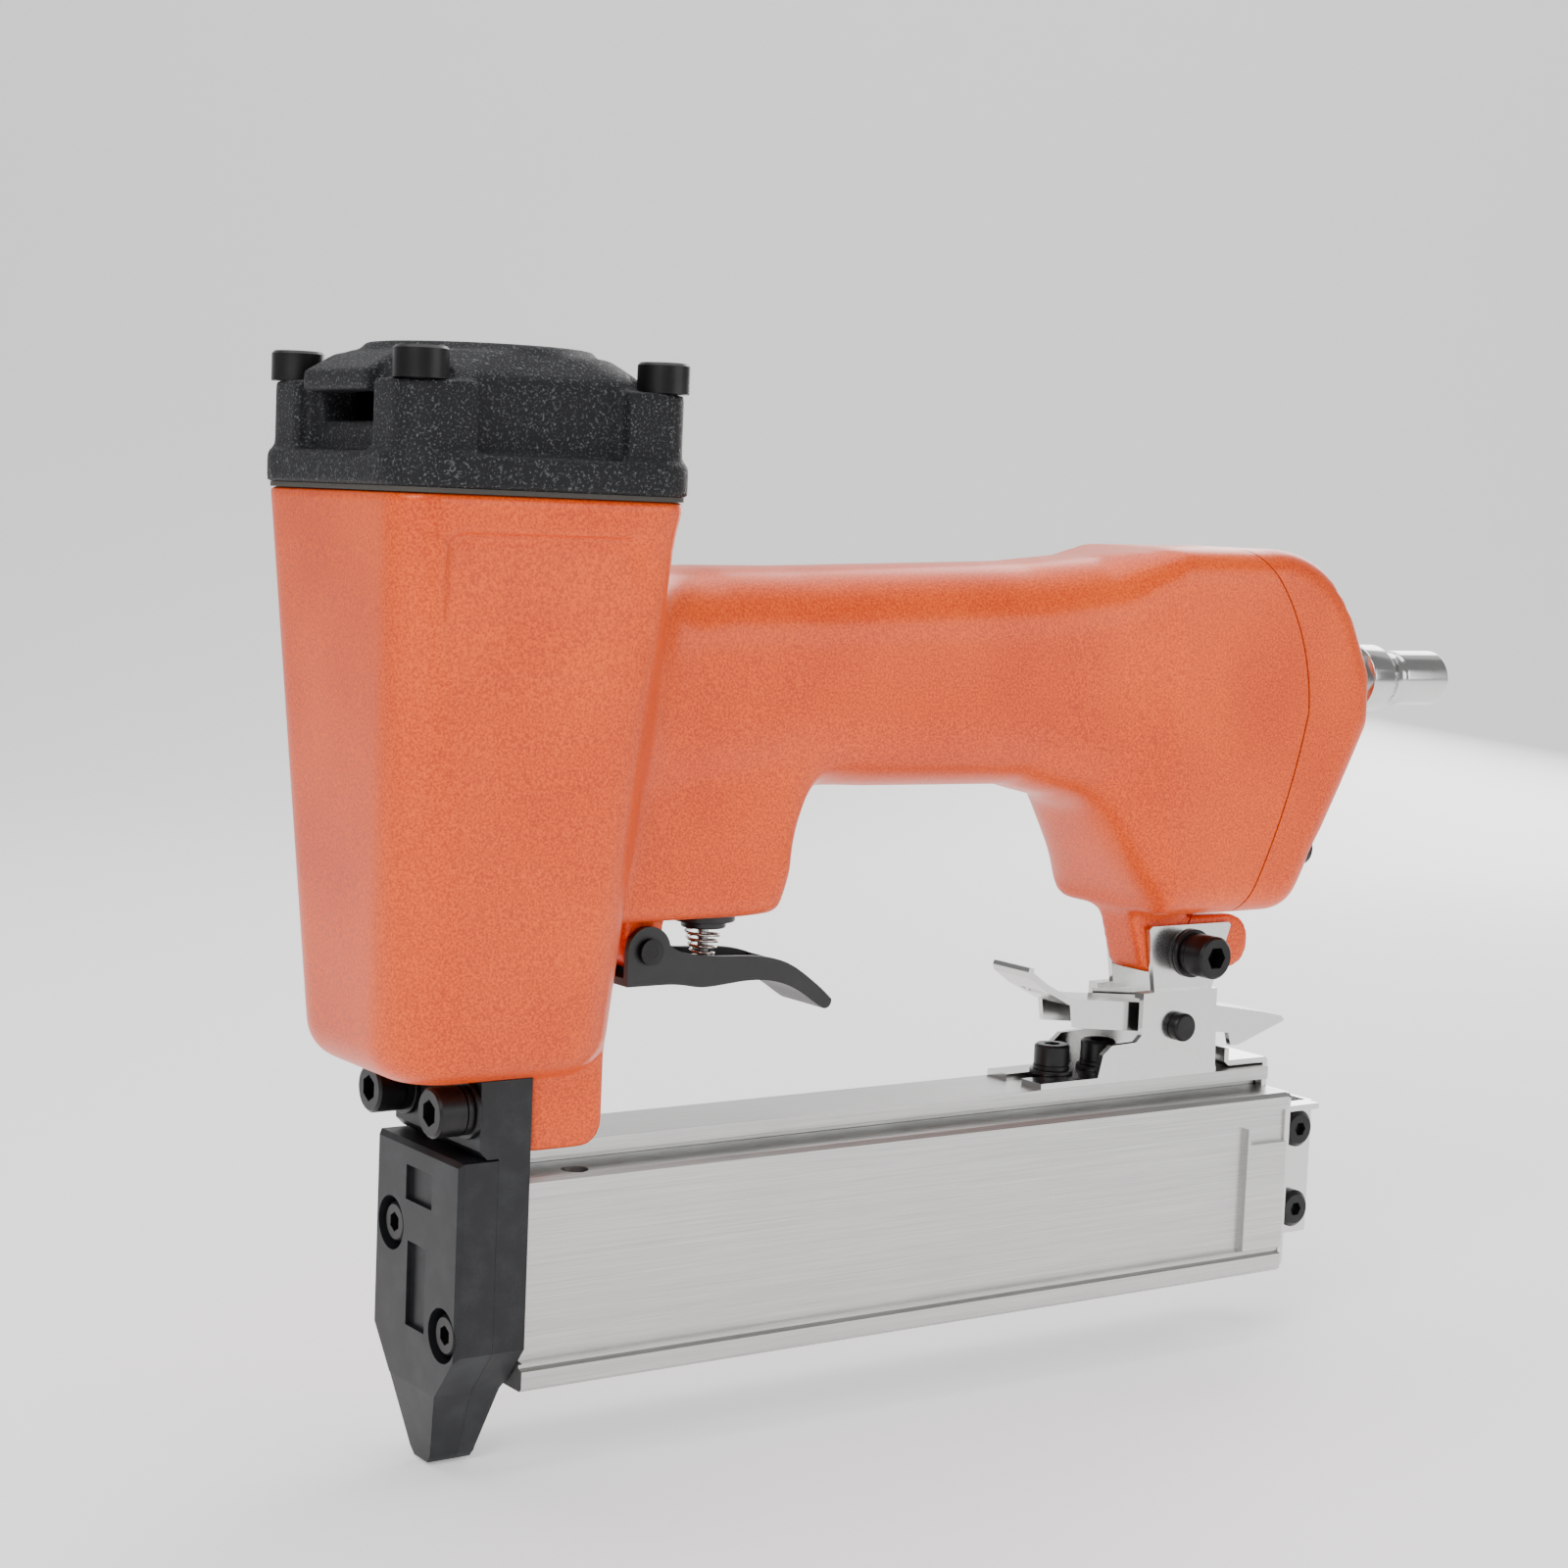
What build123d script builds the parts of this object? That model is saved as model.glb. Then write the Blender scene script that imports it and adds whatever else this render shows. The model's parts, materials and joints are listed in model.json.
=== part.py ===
# Pneumatic nail gun: an air-driven brad nailer with a side-loading sliding magazine.
# Frame: origin at the bottom of the nose tip, on the driver's line of travel.
# +X runs back towards the air plug, +Z runs up along the cylinder, -Y is the latch bolt's head side.
# Units are millimetres.
import os
from math import atan, degrees

from build123d import *

os.makedirs("parts", exist_ok=True)

# ---------------------------------------------------------------- driving dimensions
sheet = 1.2                 # pressed steel sheet of the bracket and the end fittings
fit = 0.05                  # radial gap of a shank in its hole

# nose
nose_half = 15.0            # half width of the two nose plates
front_plate_t = 7.0
rear_plate_t = 6.0
front_plate_top = 54.0
shoulder_z = 21.5           # where the nose sides start to taper
waist_z, waist_half = 13.0, 8.0
tip_half, tip_flat = 3.6, 2.4
channel_x, channel_y = 1.7, 3.3     # driver channel, halved by the parting plane
nose_screw_places = [(9.0, 39.0), (-10.0, 24.2)]
mount_block_front = -3.6    # front face of the mounting block under the cylinder
mount_screw_y, mount_screw_z = 10.9, 62.1

# cylinder housing
body_bottom = 67.5
body_top = 162.6
cap_seam = 163.4
body_half_top = 26.8
body_front_low, body_rear_low, body_half_low = -21.6, 20.4, 21.3
body_corner_top, body_corner_low = 7.0, 12.0
chamber_r = 21.6            # annular air space round the upper sleeve
sleeve_seat_r = 17.2
sleeve_seat_top = 108.0
sleeve_bore_r, sleeve_r = 14.5, 17.0
sleeve_bottom, sleeve_top = 72.0, 158.0

# cap
flange_half = 27.5
flange_t = 5.4
boss_top = 180.0
cap_top = 186.5
cap_screw_pitch = 44.0
cap_bore_r = 19.4
slot_low, slot_high, slot_half = 173.5, 178.2, 10.0

# handle and rear bulge
grip_half = 15.5
bulge_half = 18.0
plug_z = 132.4
lug_half = 5.3              # half width of the lug that the latch bracket straddles
bracket_bolt_x, bracket_bolt_z = 159.0, 78.5

# piston and driver
piston_z, piston_t = 141.5, 11.0
blade_tip_z = 53.2
bumper_top = 88.7

# trigger
pivot_x, pivot_z = 33.2, 85.6
stem_x = 48.2
trigger_half = 6.4
trigger_wall = 1.3
housing_bottom = 91.5

# magazine
rail_top, rail_flange_low, rail_half = 54.4, 51.8, 8.0
rail_start, rail_end = 6.0, 180.7
web_half, web_bottom = 4.0, 24.0
nail_slot_half, nail_slot_top = 0.9, 50.2
rib_half, rib_low, rib_high = 7.0, 45.0, 47.6
outer_half, outer_top, outer_low = 14.0, 50.1, 13.7
outer_start, outer_end = 6.2, 181.0
panel_low, panel_high, panel_depth = 18.8, 46.8, 1.3
column_start = 170.5
rod_z, rod_r = 20.8, 1.5
end_block_end = 191.2

# latch
latch_x, latch_z, latch_pin_r = 155.3, 64.4, 2.0
wing_half = 8.2             # outer face of the bracket's lower wings
ear_half = 6.7              # outer face of its upper ears
base_screw_xs = [130.2, 142.0]
lip_top = 58.4
beak_low = 58.8


def save(part, name):
    """Label a finished piece and write its STEP file."""
    part.label = name
    export_step(part, f"parts/{name}.step")


def socket_screws(seat, places, thread, head_r, head_h, length, socket):
    """Socket-head screws on a seat plane: heads rise along its normal, shanks run down."""
    with BuildPart() as screws:
        with BuildSketch(seat):
            with Locations(*places):
                Circle(head_r)
        extrude(amount=head_h)
        rim = screws.edges().filter_by(GeomType.CIRCLE).group_by(Axis(seat.origin, seat.z_dir))[-1]
        chamfer(rim, head_h * 0.08)
        with BuildSketch(seat):
            with Locations(*places):
                Circle(thread / 2)
        extrude(amount=-length)
        with BuildSketch(seat.offset(head_h)):
            with Locations(*places):
                RegularPolygon(socket / 2, 6, major_radius=False)
        extrude(amount=-head_h * 0.6, mode=Mode.SUBTRACT)
    return screws.part


def washers(seat, places, outer_r, inner_r, thickness):
    """Flat rings standing on a seat plane."""
    with BuildPart() as rings:
        with BuildSketch(seat):
            with Locations(*places):
                Circle(outer_r)
                Circle(inner_r, mode=Mode.SUBTRACT)
        extrude(amount=thickness)
    return rings.part


def across(origin_y, outwards=-1):
    """A plane facing -Y (outwards=-1) or +Y (outwards=1), with its local y along +Z."""
    return Plane(origin=(0, origin_y, 0), x_dir=(-outwards, 0, 0), z_dir=(0, outwards, 0))


def facing_front(x):
    """A plane facing -X at x, with local x along -Y and local y along +Z."""
    return Plane(origin=(x, 0, 0), x_dir=(0, -1, 0), z_dir=(-1, 0, 0))


def seam_curve(shift):
    """The curved joint between the casting and its end cap, moved back by shift."""
    upper = ThreePointArc((158 + shift, 160), (172 + shift, 143.5), (175.8 + shift, 127))
    ThreePointArc(upper @ 1, (171.9 + shift, 112), (160 + shift, 86))


# ---------------------------------------------------------------- rear bulge, shared outline
with BuildPart() as rear_block:
    with BuildSketch(Plane.XZ):
        with BuildLine():
            crown = ThreePointArc((166, 158.2), (181.5, 154.8), (190.2, 145.2))
            back = Polyline(crown @ 1, (195.4, 134.4), (195.6, 124), (189.4, 112), (178.6, 92.2))
            heel = ThreePointArc(back @ 1, (175.4, 88.6), (171, 87.4))
            Polyline(heel @ 1, (142, 87.4), (142, 158.0), crown @ 0)
        make_face()
    extrude(amount=bulge_half, both=True)
    outline_edges = rear_block.edges().filter_by(lambda e: abs(abs(e.center().Y) - bulge_half) < 0.01)
    fillet(outline_edges.filter_by(lambda e: e.center().X > 143), 5.5)

end_screw_places = [(-12.5, 149.0), (12.5, 149.0), (-12.5, 99.5), (12.5, 99.5)]
end_screw_seat = 178.0

# ---------------------------------------------------------------- body casting
with BuildPart() as body_casting:
    # the part of the bulge ahead of the end cap's joint
    with BuildSketch(Plane.XZ):
        with BuildLine():
            seam_curve(0)
            Polyline((160, 86), (141, 86), (141, 160), (158, 160))
        make_face()
    extrude(amount=bulge_half + 1, both=True)
    add(rear_block.part, mode=Mode.INTERSECT)
    # cylinder housing, tapering down to the nose
    with BuildSketch(Plane.XY.offset(body_bottom)):
        with Locations(((body_rear_low + body_front_low) / 2, 0)):
            RectangleRounded(body_rear_low - body_front_low, 2 * body_half_low, body_corner_low)
    with BuildSketch(Plane.XY.offset(body_top)):
        RectangleRounded(2 * body_half_top, 2 * body_half_top, body_corner_top)
    loft()
    fillet(body_casting.faces().sort_by(Axis.Z)[0].edges(), 7.0)
    # handle: from the cylinder back into the bulge
    for x, low, high, half, corner in [
        (8, 111.0, 151.4, 18.0, 12),
        (60, 113.2, 152.2, grip_half, 13),
        (112, 112.6, 154.2, grip_half, 13),
    ]:
        with BuildSketch(Plane.YZ.offset(x)):
            with Locations((0, (low + high) / 2)):
                RectangleRounded(2 * half, high - low, corner)
    loft(ruled=True)
    for x, low, high, half, corner in [
        (112, 112.6, 154.2, grip_half, 13),
        (129, 108.4, 155.8, 16.0, 12),
        (143, 88.4, 158.0, bulge_half - 0.2, 6),
    ]:
        with BuildSketch(Plane.YZ.offset(x)):
            with Locations((0, (low + high) / 2)):
                RectangleRounded(2 * half, high - low, corner)
    loft(ruled=True)
    # trigger housing under the front of the handle
    with BuildSketch(Plane.XZ):
        Polygon((14, 120), (20, housing_bottom), (57, housing_bottom), (58.5, 99), (63, 115), (66, 120),
                align=None)
    extrude(amount=13.5, both=True)
    housing_edges = body_casting.edges().filter_by(
        lambda e: abs(abs(e.center().Y) - 13.5) < 0.01 and e.center().X > 24 and e.center().Z < 113)
    fillet(housing_edges, 3.0)
    # lug that carries the trigger pin
    with BuildSketch(Plane.XZ):
        with BuildLine():
            left = Line((29.0, 95), (29.0, pivot_z))
            round_end = ThreePointArc(left @ 1, (pivot_x, pivot_z - 3.9), (37.4, pivot_z))
            Polyline(round_end @ 1, (37.4, 95), (29.0, 95))
        make_face()
    extrude(amount=4.6, both=True)
    # leg and lug that carry the latch bracket
    with BuildSketch(Plane.XZ):
        with BuildLine():
            front_edge = Polyline((143, 90), (148.2, 75.2), (152, 74.4), (170, 74.4))
            boss = ThreePointArc(front_edge @ 1, (176.0, 79.0), (170, 85.6))
            Polyline(boss @ 1, (158.5, 85.6), (158.5, 90), (143, 90))
        make_face()
    extrude(amount=lug_half, both=True)
    # neck behind the nose, standing on the magazine rail
    with BuildSketch(Plane.XZ):
        with BuildLine():
            heel = Polyline((6, 74), (6, rail_top), (16.5, rail_top))
            corner = ThreePointArc(heel @ 1, (19.3, rail_top + 1.2), (20.5, rail_top + 4))
            Polyline(corner @ 1, (20.5, 80), (6, 80), (6, 74))
        make_face()
    extrude(amount=14.2, both=True)

    # shallow panel on each side of the cylinder
    for side in (-1, 1):
        with BuildSketch(across(side * (body_half_top + 1), side)):
            with Locations((0, 145)):
                RectangleRounded(37.5, 23.5, 3)
        extrude(amount=-2.8, mode=Mode.SUBTRACT)
    # cylinder bores, air passage of the handle and the driver's way out
    with BuildSketch(Plane.XY.offset(body_top)):
        Circle(chamber_r)
    extrude(amount=-(body_top - sleeve_seat_top), mode=Mode.SUBTRACT)
    with BuildSketch(Plane.XY.offset(sleeve_seat_top)):
        Circle(sleeve_seat_r)
    extrude(amount=-(sleeve_seat_top - sleeve_bottom), mode=Mode.SUBTRACT)
    with BuildSketch(Plane.XY.offset(sleeve_bottom)):
        Rectangle(channel_x + 1, channel_y + 1)
    extrude(amount=-8, mode=Mode.SUBTRACT)
    with BuildSketch(Plane.YZ.offset(15)):
        with Locations((0, 133.5)):
            RectangleRounded(22, 27, 9)
    extrude(amount=165, mode=Mode.SUBTRACT)
    with BuildSketch(Plane.YZ.offset(146)):
        with Locations((0, 124.0)):
            RectangleRounded(21, 44, 7)
    extrude(amount=40, mode=Mode.SUBTRACT)
    # trigger valve bore, pin hole, bolt hole and screw holes
    with BuildSketch(Plane.XY.offset(housing_bottom)):
        with Locations((stem_x, 0)):
            Circle(5.0)
    extrude(amount=35, mode=Mode.SUBTRACT)
    with BuildSketch(across(8)):
        with Locations((pivot_x, pivot_z)):
            Circle(1.5 + fit)
        with Locations((bracket_bolt_x, bracket_bolt_z)):
            Circle(2.5 + fit)
    extrude(amount=16, mode=Mode.SUBTRACT)
    with BuildSketch(Plane.XY.offset(body_top)):
        with GridLocations(cap_screw_pitch, cap_screw_pitch, 2, 2):
            Circle(2.5 + fit)
    extrude(amount=-8, mode=Mode.SUBTRACT)
    with BuildSketch(facing_front(rail_start)):
        with Locations((-mount_screw_y, mount_screw_z), (mount_screw_y, mount_screw_z)):
            Circle(2.5 + fit)
    extrude(amount=-12.5, mode=Mode.SUBTRACT)
    with BuildSketch(Plane.YZ.offset(150)):
        with Locations(*end_screw_places):
            Circle(2.0 + fit)
    extrude(amount=40, mode=Mode.SUBTRACT)
save(body_casting.part, "body_casting")

# ---------------------------------------------------------------- end cap, gasket and screws
gasket_t = 0.8
with BuildPart() as end_cap:
    with BuildSketch(Plane.XZ):
        with BuildLine():
            seam_curve(gasket_t)
            Polyline((160 + gasket_t, 86), (200, 86), (200, 160), (158 + gasket_t, 160))
        make_face()
    extrude(amount=bulge_half + 1, both=True)
    add(rear_block.part, mode=Mode.INTERSECT)
    with BuildSketch(Plane.YZ.offset(150)):
        with Locations((0, 125.0)):
            RectangleRounded(21, 42, 7)
    extrude(amount=31, mode=Mode.SUBTRACT)
    with BuildSketch(Plane.YZ.offset(180)):
        with Locations((0, plug_z)):
            Circle(6.0 + fit)
    extrude(amount=19, mode=Mode.SUBTRACT)
    with BuildSketch(Plane.YZ.offset(160)):
        with Locations(*end_screw_places):
            Circle(2.0 + fit)
    extrude(amount=20, mode=Mode.SUBTRACT)
    with BuildSketch(Plane.YZ.offset(end_screw_seat)):
        with Locations(*end_screw_places):
            Circle(3.9)
    extrude(amount=20, mode=Mode.SUBTRACT)
    # flat spot under the plug's hexagon
    with BuildSketch(Plane.YZ.offset(195.0)):
        with Locations((0, plug_z)):
            Circle(9.0)
    extrude(amount=3, mode=Mode.SUBTRACT)
save(end_cap.part, "end_cap")

with BuildPart() as end_cap_gasket:
    with BuildSketch(Plane.XZ):
        with BuildLine():
            seam_curve(0)
            Line((160, 86), (160 + gasket_t, 86))
            seam_curve(gasket_t)
            Line((158 + gasket_t, 160), (158, 160))
        make_face()
    extrude(amount=bulge_half + 1, both=True)
    add(rear_block.part, mode=Mode.INTERSECT)
    with BuildSketch(Plane.YZ.offset(150)):
        with Locations((0, 124.5)):
            RectangleRounded(21, 43, 7)
        with Locations(*end_screw_places):
            Circle(2.0 + fit)
    extrude(amount=35, mode=Mode.SUBTRACT)
save(end_cap_gasket.part, "end_cap_gasket")

save(socket_screws(Plane.YZ.offset(end_screw_seat), end_screw_places, 4.0, 3.5, 4.0, 24.0, 3.0),
     "end_cap_screws")

# ---------------------------------------------------------------- air plug
with BuildPart() as air_plug:
    with BuildSketch(Plane.YZ.offset(195.0)):
        with Locations((0, plug_z)):
            RegularPolygon(7.0, 6, major_radius=False)
    extrude(amount=7.5)
    with BuildSketch(Plane.XZ):
        with BuildLine():
            Polyline((186, plug_z), (186, plug_z + 6), (195, plug_z + 6), (195, plug_z + 5),
                     (205, plug_z + 5))
            Polyline((205, plug_z + 5), (206, plug_z + 6.8), (211.5, plug_z + 6.8), (214.6, plug_z + 5.0))
            Polyline((214.6, plug_z + 5.0), (216.4, plug_z + 5.0), (217.4, plug_z + 5.6),
                     (228.4, plug_z + 5.6))
            nose_arc = ThreePointArc((228.4, plug_z + 5.6), (229.3, plug_z + 5.1), (229.7, plug_z + 4.2))
            Polyline(nose_arc @ 1, (229.7, plug_z), (186, plug_z))
        make_face()
    revolve(axis=Axis((0, 0, plug_z), (1, 0, 0)))
    with BuildSketch(Plane.YZ.offset(186)):
        with Locations((0, plug_z)):
            Circle(2.5)
    extrude(amount=50, mode=Mode.SUBTRACT)
save(air_plug.part, "air_plug")

# ---------------------------------------------------------------- cylinder cap
with BuildPart() as cylinder_cap:
    with BuildSketch(Plane.XY.offset(cap_seam)):
        RectangleRounded(2 * flange_half, 2 * flange_half, 8)
    extrude(amount=flange_t)
    with BuildSketch(Plane.XY.offset(cap_seam + flange_t)):
        RectangleRounded(52, 52, 5.5)
    extrude(amount=boss_top - cap_seam - flange_t)
    # recess between each pair of corner bosses
    with BuildSketch(Plane.XY.offset(cap_seam + flange_t)):
        with PolarLocations(26, 4):
            Rectangle(5.2, 27)
    extrude(amount=20, mode=Mode.SUBTRACT)
    # low dome between the bosses, with a raised round top
    with BuildSketch(Plane.XY.offset(boss_top - 4)):
        RectangleRounded(46.8, 46.8, 9)
    with BuildSketch(Plane.XY.offset(boss_top + 1)):
        RectangleRounded(46.0, 46.0, 9)
    with BuildSketch(Plane.XY.offset(cap_top - 1.3)):
        RectangleRounded(38.5, 38.5, 14)
    loft(ruled=True)
    with BuildSketch(Plane.XY.offset(cap_top - 1.3)):
        Circle(19.2)
    extrude(amount=1.3, taper=25)
    with BuildSketch(Plane.XY.offset(boss_top)):
        with GridLocations(cap_screw_pitch, cap_screw_pitch, 2, 2):
            Circle(5.6)
    extrude(amount=8, mode=Mode.SUBTRACT)
    # hood over the exhaust slot
    with BuildSketch(Plane.XZ):
        Polygon((-26.2, slot_high), (-26.2, 181.3), (-20.5, 184.6), (-12, 184.6), (-12, slot_high),
                align=None)
    extrude(amount=11.6, both=True)
    # head valve chamber, exhaust slot and screw holes
    with BuildSketch(Plane.XY.offset(cap_seam)):
        Circle(cap_bore_r)
    extrude(amount=17.2, mode=Mode.SUBTRACT)
    with BuildSketch(facing_front(-16)):
        with Locations((0, (slot_low + slot_high) / 2)):
            Rectangle(2 * slot_half, slot_high - slot_low)
    extrude(amount=14, mode=Mode.SUBTRACT)
    with BuildSketch(Plane.XY.offset(cap_seam)):
        with GridLocations(cap_screw_pitch, cap_screw_pitch, 2, 2):
            Circle(2.5 + fit)
    extrude(amount=20, mode=Mode.SUBTRACT)
save(cylinder_cap.part, "cylinder_cap")

with BuildPart() as cap_gasket:
    with BuildSketch(Plane.XY.offset(body_top)):
        RectangleRounded(2 * body_half_top, 2 * body_half_top, body_corner_top)
        Circle(chamber_r, mode=Mode.SUBTRACT)
        with GridLocations(cap_screw_pitch, cap_screw_pitch, 2, 2):
            Circle(2.5 + fit, mode=Mode.SUBTRACT)
    extrude(amount=cap_seam - body_top)
save(cap_gasket.part, "cap_gasket")

half_pitch = cap_screw_pitch / 2
cap_screw_places = [(x, y) for x in (-half_pitch, half_pitch) for y in (-half_pitch, half_pitch)]
save(socket_screws(Plane.XY.offset(boss_top), cap_screw_places, 5.0, 4.4, 5.0, 24.5, 4.0), "cap_screws")

# ---------------------------------------------------------------- cylinder, head valve, piston, driver
ring_groove_zs = [80.0, 104.0]
return_port_z = 96.0
with BuildPart() as cylinder_sleeve:
    with BuildSketch(Plane.XY.offset(sleeve_bottom)):
        Circle(sleeve_r)
        Circle(sleeve_bore_r, mode=Mode.SUBTRACT)
    extrude(amount=sleeve_top - sleeve_bottom)
    for groove_z in ring_groove_zs:
        with BuildSketch(Plane.XY.offset(groove_z)):
            Circle(sleeve_r + 1)
            Circle(sleeve_r - 1.6, mode=Mode.SUBTRACT)
        extrude(amount=1.8, mode=Mode.SUBTRACT)
    # ports that let the return air in under the piston
    for turn in (0, 60, 120):
        with BuildSketch(Plane.XZ.rotated((0, 0, turn))):
            with Locations((0, return_port_z)):
                Circle(1.5)
        extrude(amount=sleeve_r + 1, both=True, mode=Mode.SUBTRACT)
save(cylinder_sleeve.part, "cylinder_sleeve")

with BuildPart() as sleeve_orings:
    for groove_z in ring_groove_zs:
        with Locations((0, 0, groove_z + 0.9)):
            Torus(sleeve_r - 0.72, 0.82)
save(sleeve_orings.part, "sleeve_orings")

with BuildPart() as bumper:
    with BuildSketch(Plane.XZ):
        Polygon((4.6, sleeve_bottom + 0.1), (14.2, sleeve_bottom + 0.1), (13.4, 80), (14.2, bumper_top - 3),
                (13.0, bumper_top), (5.6, bumper_top), (4.6, bumper_top - 1), align=None)
    revolve(axis=Axis.Z)
save(bumper.part, "bumper")

head_valve_z, head_valve_t = 158.0, 8.2
with BuildPart() as head_valve:
    with BuildSketch(Plane.XY.offset(head_valve_z)):
        Circle(cap_bore_r - fit)
        Circle(5.0, mode=Mode.SUBTRACT)
    extrude(amount=head_valve_t)
    with BuildSketch(Plane.XY.offset(head_valve_z + 2.4)):
        Circle(15.0)
        Circle(8.0, mode=Mode.SUBTRACT)
    extrude(amount=head_valve_t, mode=Mode.SUBTRACT)
    with BuildSketch(Plane.XY.offset(head_valve_z + 6.0)):
        Circle(cap_bore_r + 1)
        Circle(cap_bore_r - 2.2, mode=Mode.SUBTRACT)
    extrude(amount=1.6, mode=Mode.SUBTRACT)
save(head_valve.part, "head_valve")

with BuildPart() as head_valve_oring:
    with Locations((0, 0, head_valve_z + 6.8)):
        Torus(cap_bore_r - 0.95, 0.76)
save(head_valve_oring.part, "head_valve_oring")

with BuildPart() as exhaust_seal:
    with BuildSketch(Plane.XY.offset(177.4)):
        Circle(7.0)
    extrude(amount=3.2)
save(exhaust_seal.part, "exhaust_seal")


def coil(start, direction, length, turns, radius, wire, end_radius=None):
    """A helical spring of round wire, cylindrical or conical."""
    cone = 0 if end_radius is None else (end_radius - radius) / length
    with BuildPart() as spring:
        with BuildLine():
            path = Helix(pitch=length / turns, height=length, radius=radius, center=start,
                         direction=direction, cone_angle=cone_angle(cone))
        with BuildSketch(Plane(origin=path @ 0, z_dir=path % 0)):
            Circle(wire / 2)
        sweep()
    return spring.part


def cone_angle(slope):
    """Half angle in degrees of a cone whose radius changes by slope per unit of height."""
    return degrees(atan(slope))


save(coil((0, 0, head_valve_z + 3.4), (0, 0, 1), 18.2, 4, 11.5, 1.6), "head_valve_spring")

with BuildPart() as piston:
    with BuildSketch(Plane.XY.offset(piston_z)):
        Circle(sleeve_bore_r - fit)
    extrude(amount=piston_t)
    with BuildSketch(Plane.XY.offset(piston_z + 4)):
        Circle(sleeve_bore_r + 1)
        Circle(sleeve_bore_r - 2.8, mode=Mode.SUBTRACT)
    extrude(amount=2.8, mode=Mode.SUBTRACT)
    with BuildSketch(Plane.XY.offset(piston_z + piston_t)):
        Circle(9.5)
        Circle(4.0, mode=Mode.SUBTRACT)
    extrude(amount=-2.5, mode=Mode.SUBTRACT)
save(piston.part, "piston")

with BuildPart() as piston_oring:
    with Locations((0, 0, piston_z + 5.4)):
        Torus(sleeve_bore_r - 1.42, 1.32)
save(piston_oring.part, "piston_oring")

with BuildPart() as driver_blade:
    with BuildSketch(Plane.XY.offset(blade_tip_z)):
        Rectangle(1.4, 3.0)
    extrude(amount=piston_z - 12 - blade_tip_z)
    with BuildSketch(Plane.XY.offset(piston_z - 12)):
        Circle(3.2)
    extrude(amount=12)
save(driver_blade.part, "driver_blade")

# ---------------------------------------------------------------- nose


def nose_outline(top):
    """Draw the closed front outline of a nose plate, up to a given height, in the current line."""
    left = [(-nose_half, top), (-nose_half, shoulder_z), (-waist_half, waist_z)]
    left += [(-tip_half, 1.4), (-tip_flat, 0)]
    Polyline(left + [(-y, z) for y, z in reversed(left)], close=True)


with BuildPart() as nose_front_plate:
    with BuildSketch(Plane.YZ.offset(-front_plate_t)):
        with BuildLine():
            nose_outline(front_plate_top)
        make_face()
    extrude(amount=front_plate_t)
    front_rim = nose_front_plate.faces().sort_by(Axis.X)[0].edges()
    chamfer(front_rim.filter_by(lambda e: e.center().Z > shoulder_z), 0.8)
    with BuildSketch(Plane.XZ):
        Polygon((-7, 60), (-7, 13.5), (-4.6, -1), (0, -1), (0, 60), align=None)
    extrude(amount=20, both=True, mode=Mode.INTERSECT)
    with BuildSketch(Plane.YZ):
        with Locations((0, 30)):
            Rectangle(channel_y, 80)
    extrude(amount=-channel_x / 2, mode=Mode.SUBTRACT)
    with BuildSketch(facing_front(0)):
        with Locations(*[(-y, z) for y, z in nose_screw_places]):
            Circle(2.0 + fit)
    extrude(amount=20, mode=Mode.SUBTRACT)
    with BuildSketch(facing_front(-2.8)):
        with Locations(*[(-y, z) for y, z in nose_screw_places]):
            Circle(4.6)
    extrude(amount=10, mode=Mode.SUBTRACT)
    # two shallow windows and a small mark near the tip
    with BuildSketch(facing_front(-front_plate_t)):
        with Locations((0.7, 47.2)):
            Rectangle(9.2, 5.9)
        with Locations((0.5, 30.1)):
            Rectangle(6.6, 14.4)
    extrude(amount=-1.0, mode=Mode.SUBTRACT)
save(nose_front_plate.part, "nose_front_plate")

with BuildPart() as nose_rear_plate:
    with BuildSketch(Plane.YZ):
        with BuildLine():
            nose_outline(body_bottom - 0.1)
        make_face()
    extrude(amount=rear_plate_t)
    with BuildSketch(Plane.XZ):
        Polygon((0, 70), (0, -1), (3.2, -1), (3.4, 2), (rear_plate_t, 16), (rear_plate_t, 70),
                align=None)
    extrude(amount=20, both=True, mode=Mode.INTERSECT)
    # mounting block with the two seats of the mount screws
    block_low, block_high = front_plate_top + 0.3, body_bottom - 0.1
    with BuildSketch(Plane.XZ):
        Polygon((mount_block_front, block_low + 1.5), (mount_block_front + 1.5, block_low), (1, block_low),
                (1, block_high), (mount_block_front, block_high), align=None)
    extrude(amount=nose_half, both=True)
    with BuildSketch(Plane.YZ):
        with Locations((0, 30)):
            Rectangle(channel_y, 80)
    extrude(amount=channel_x / 2, both=True, mode=Mode.SUBTRACT)
    with BuildSketch(Plane.YZ):
        with Locations((0, (web_bottom + nail_slot_top) / 2)):
            Rectangle(2 * nail_slot_half, nail_slot_top - web_bottom)
    extrude(amount=rear_plate_t, mode=Mode.SUBTRACT)
    with BuildSketch(facing_front(rear_plate_t)):
        with Locations((-mount_screw_y, mount_screw_z), (mount_screw_y, mount_screw_z)):
            Circle(2.5 + fit)
        with Locations(*[(-y, z) for y, z in nose_screw_places]):
            Circle(2.0 + fit)
    extrude(amount=20, mode=Mode.SUBTRACT)
save(nose_rear_plate.part, "nose_rear_plate")

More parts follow.
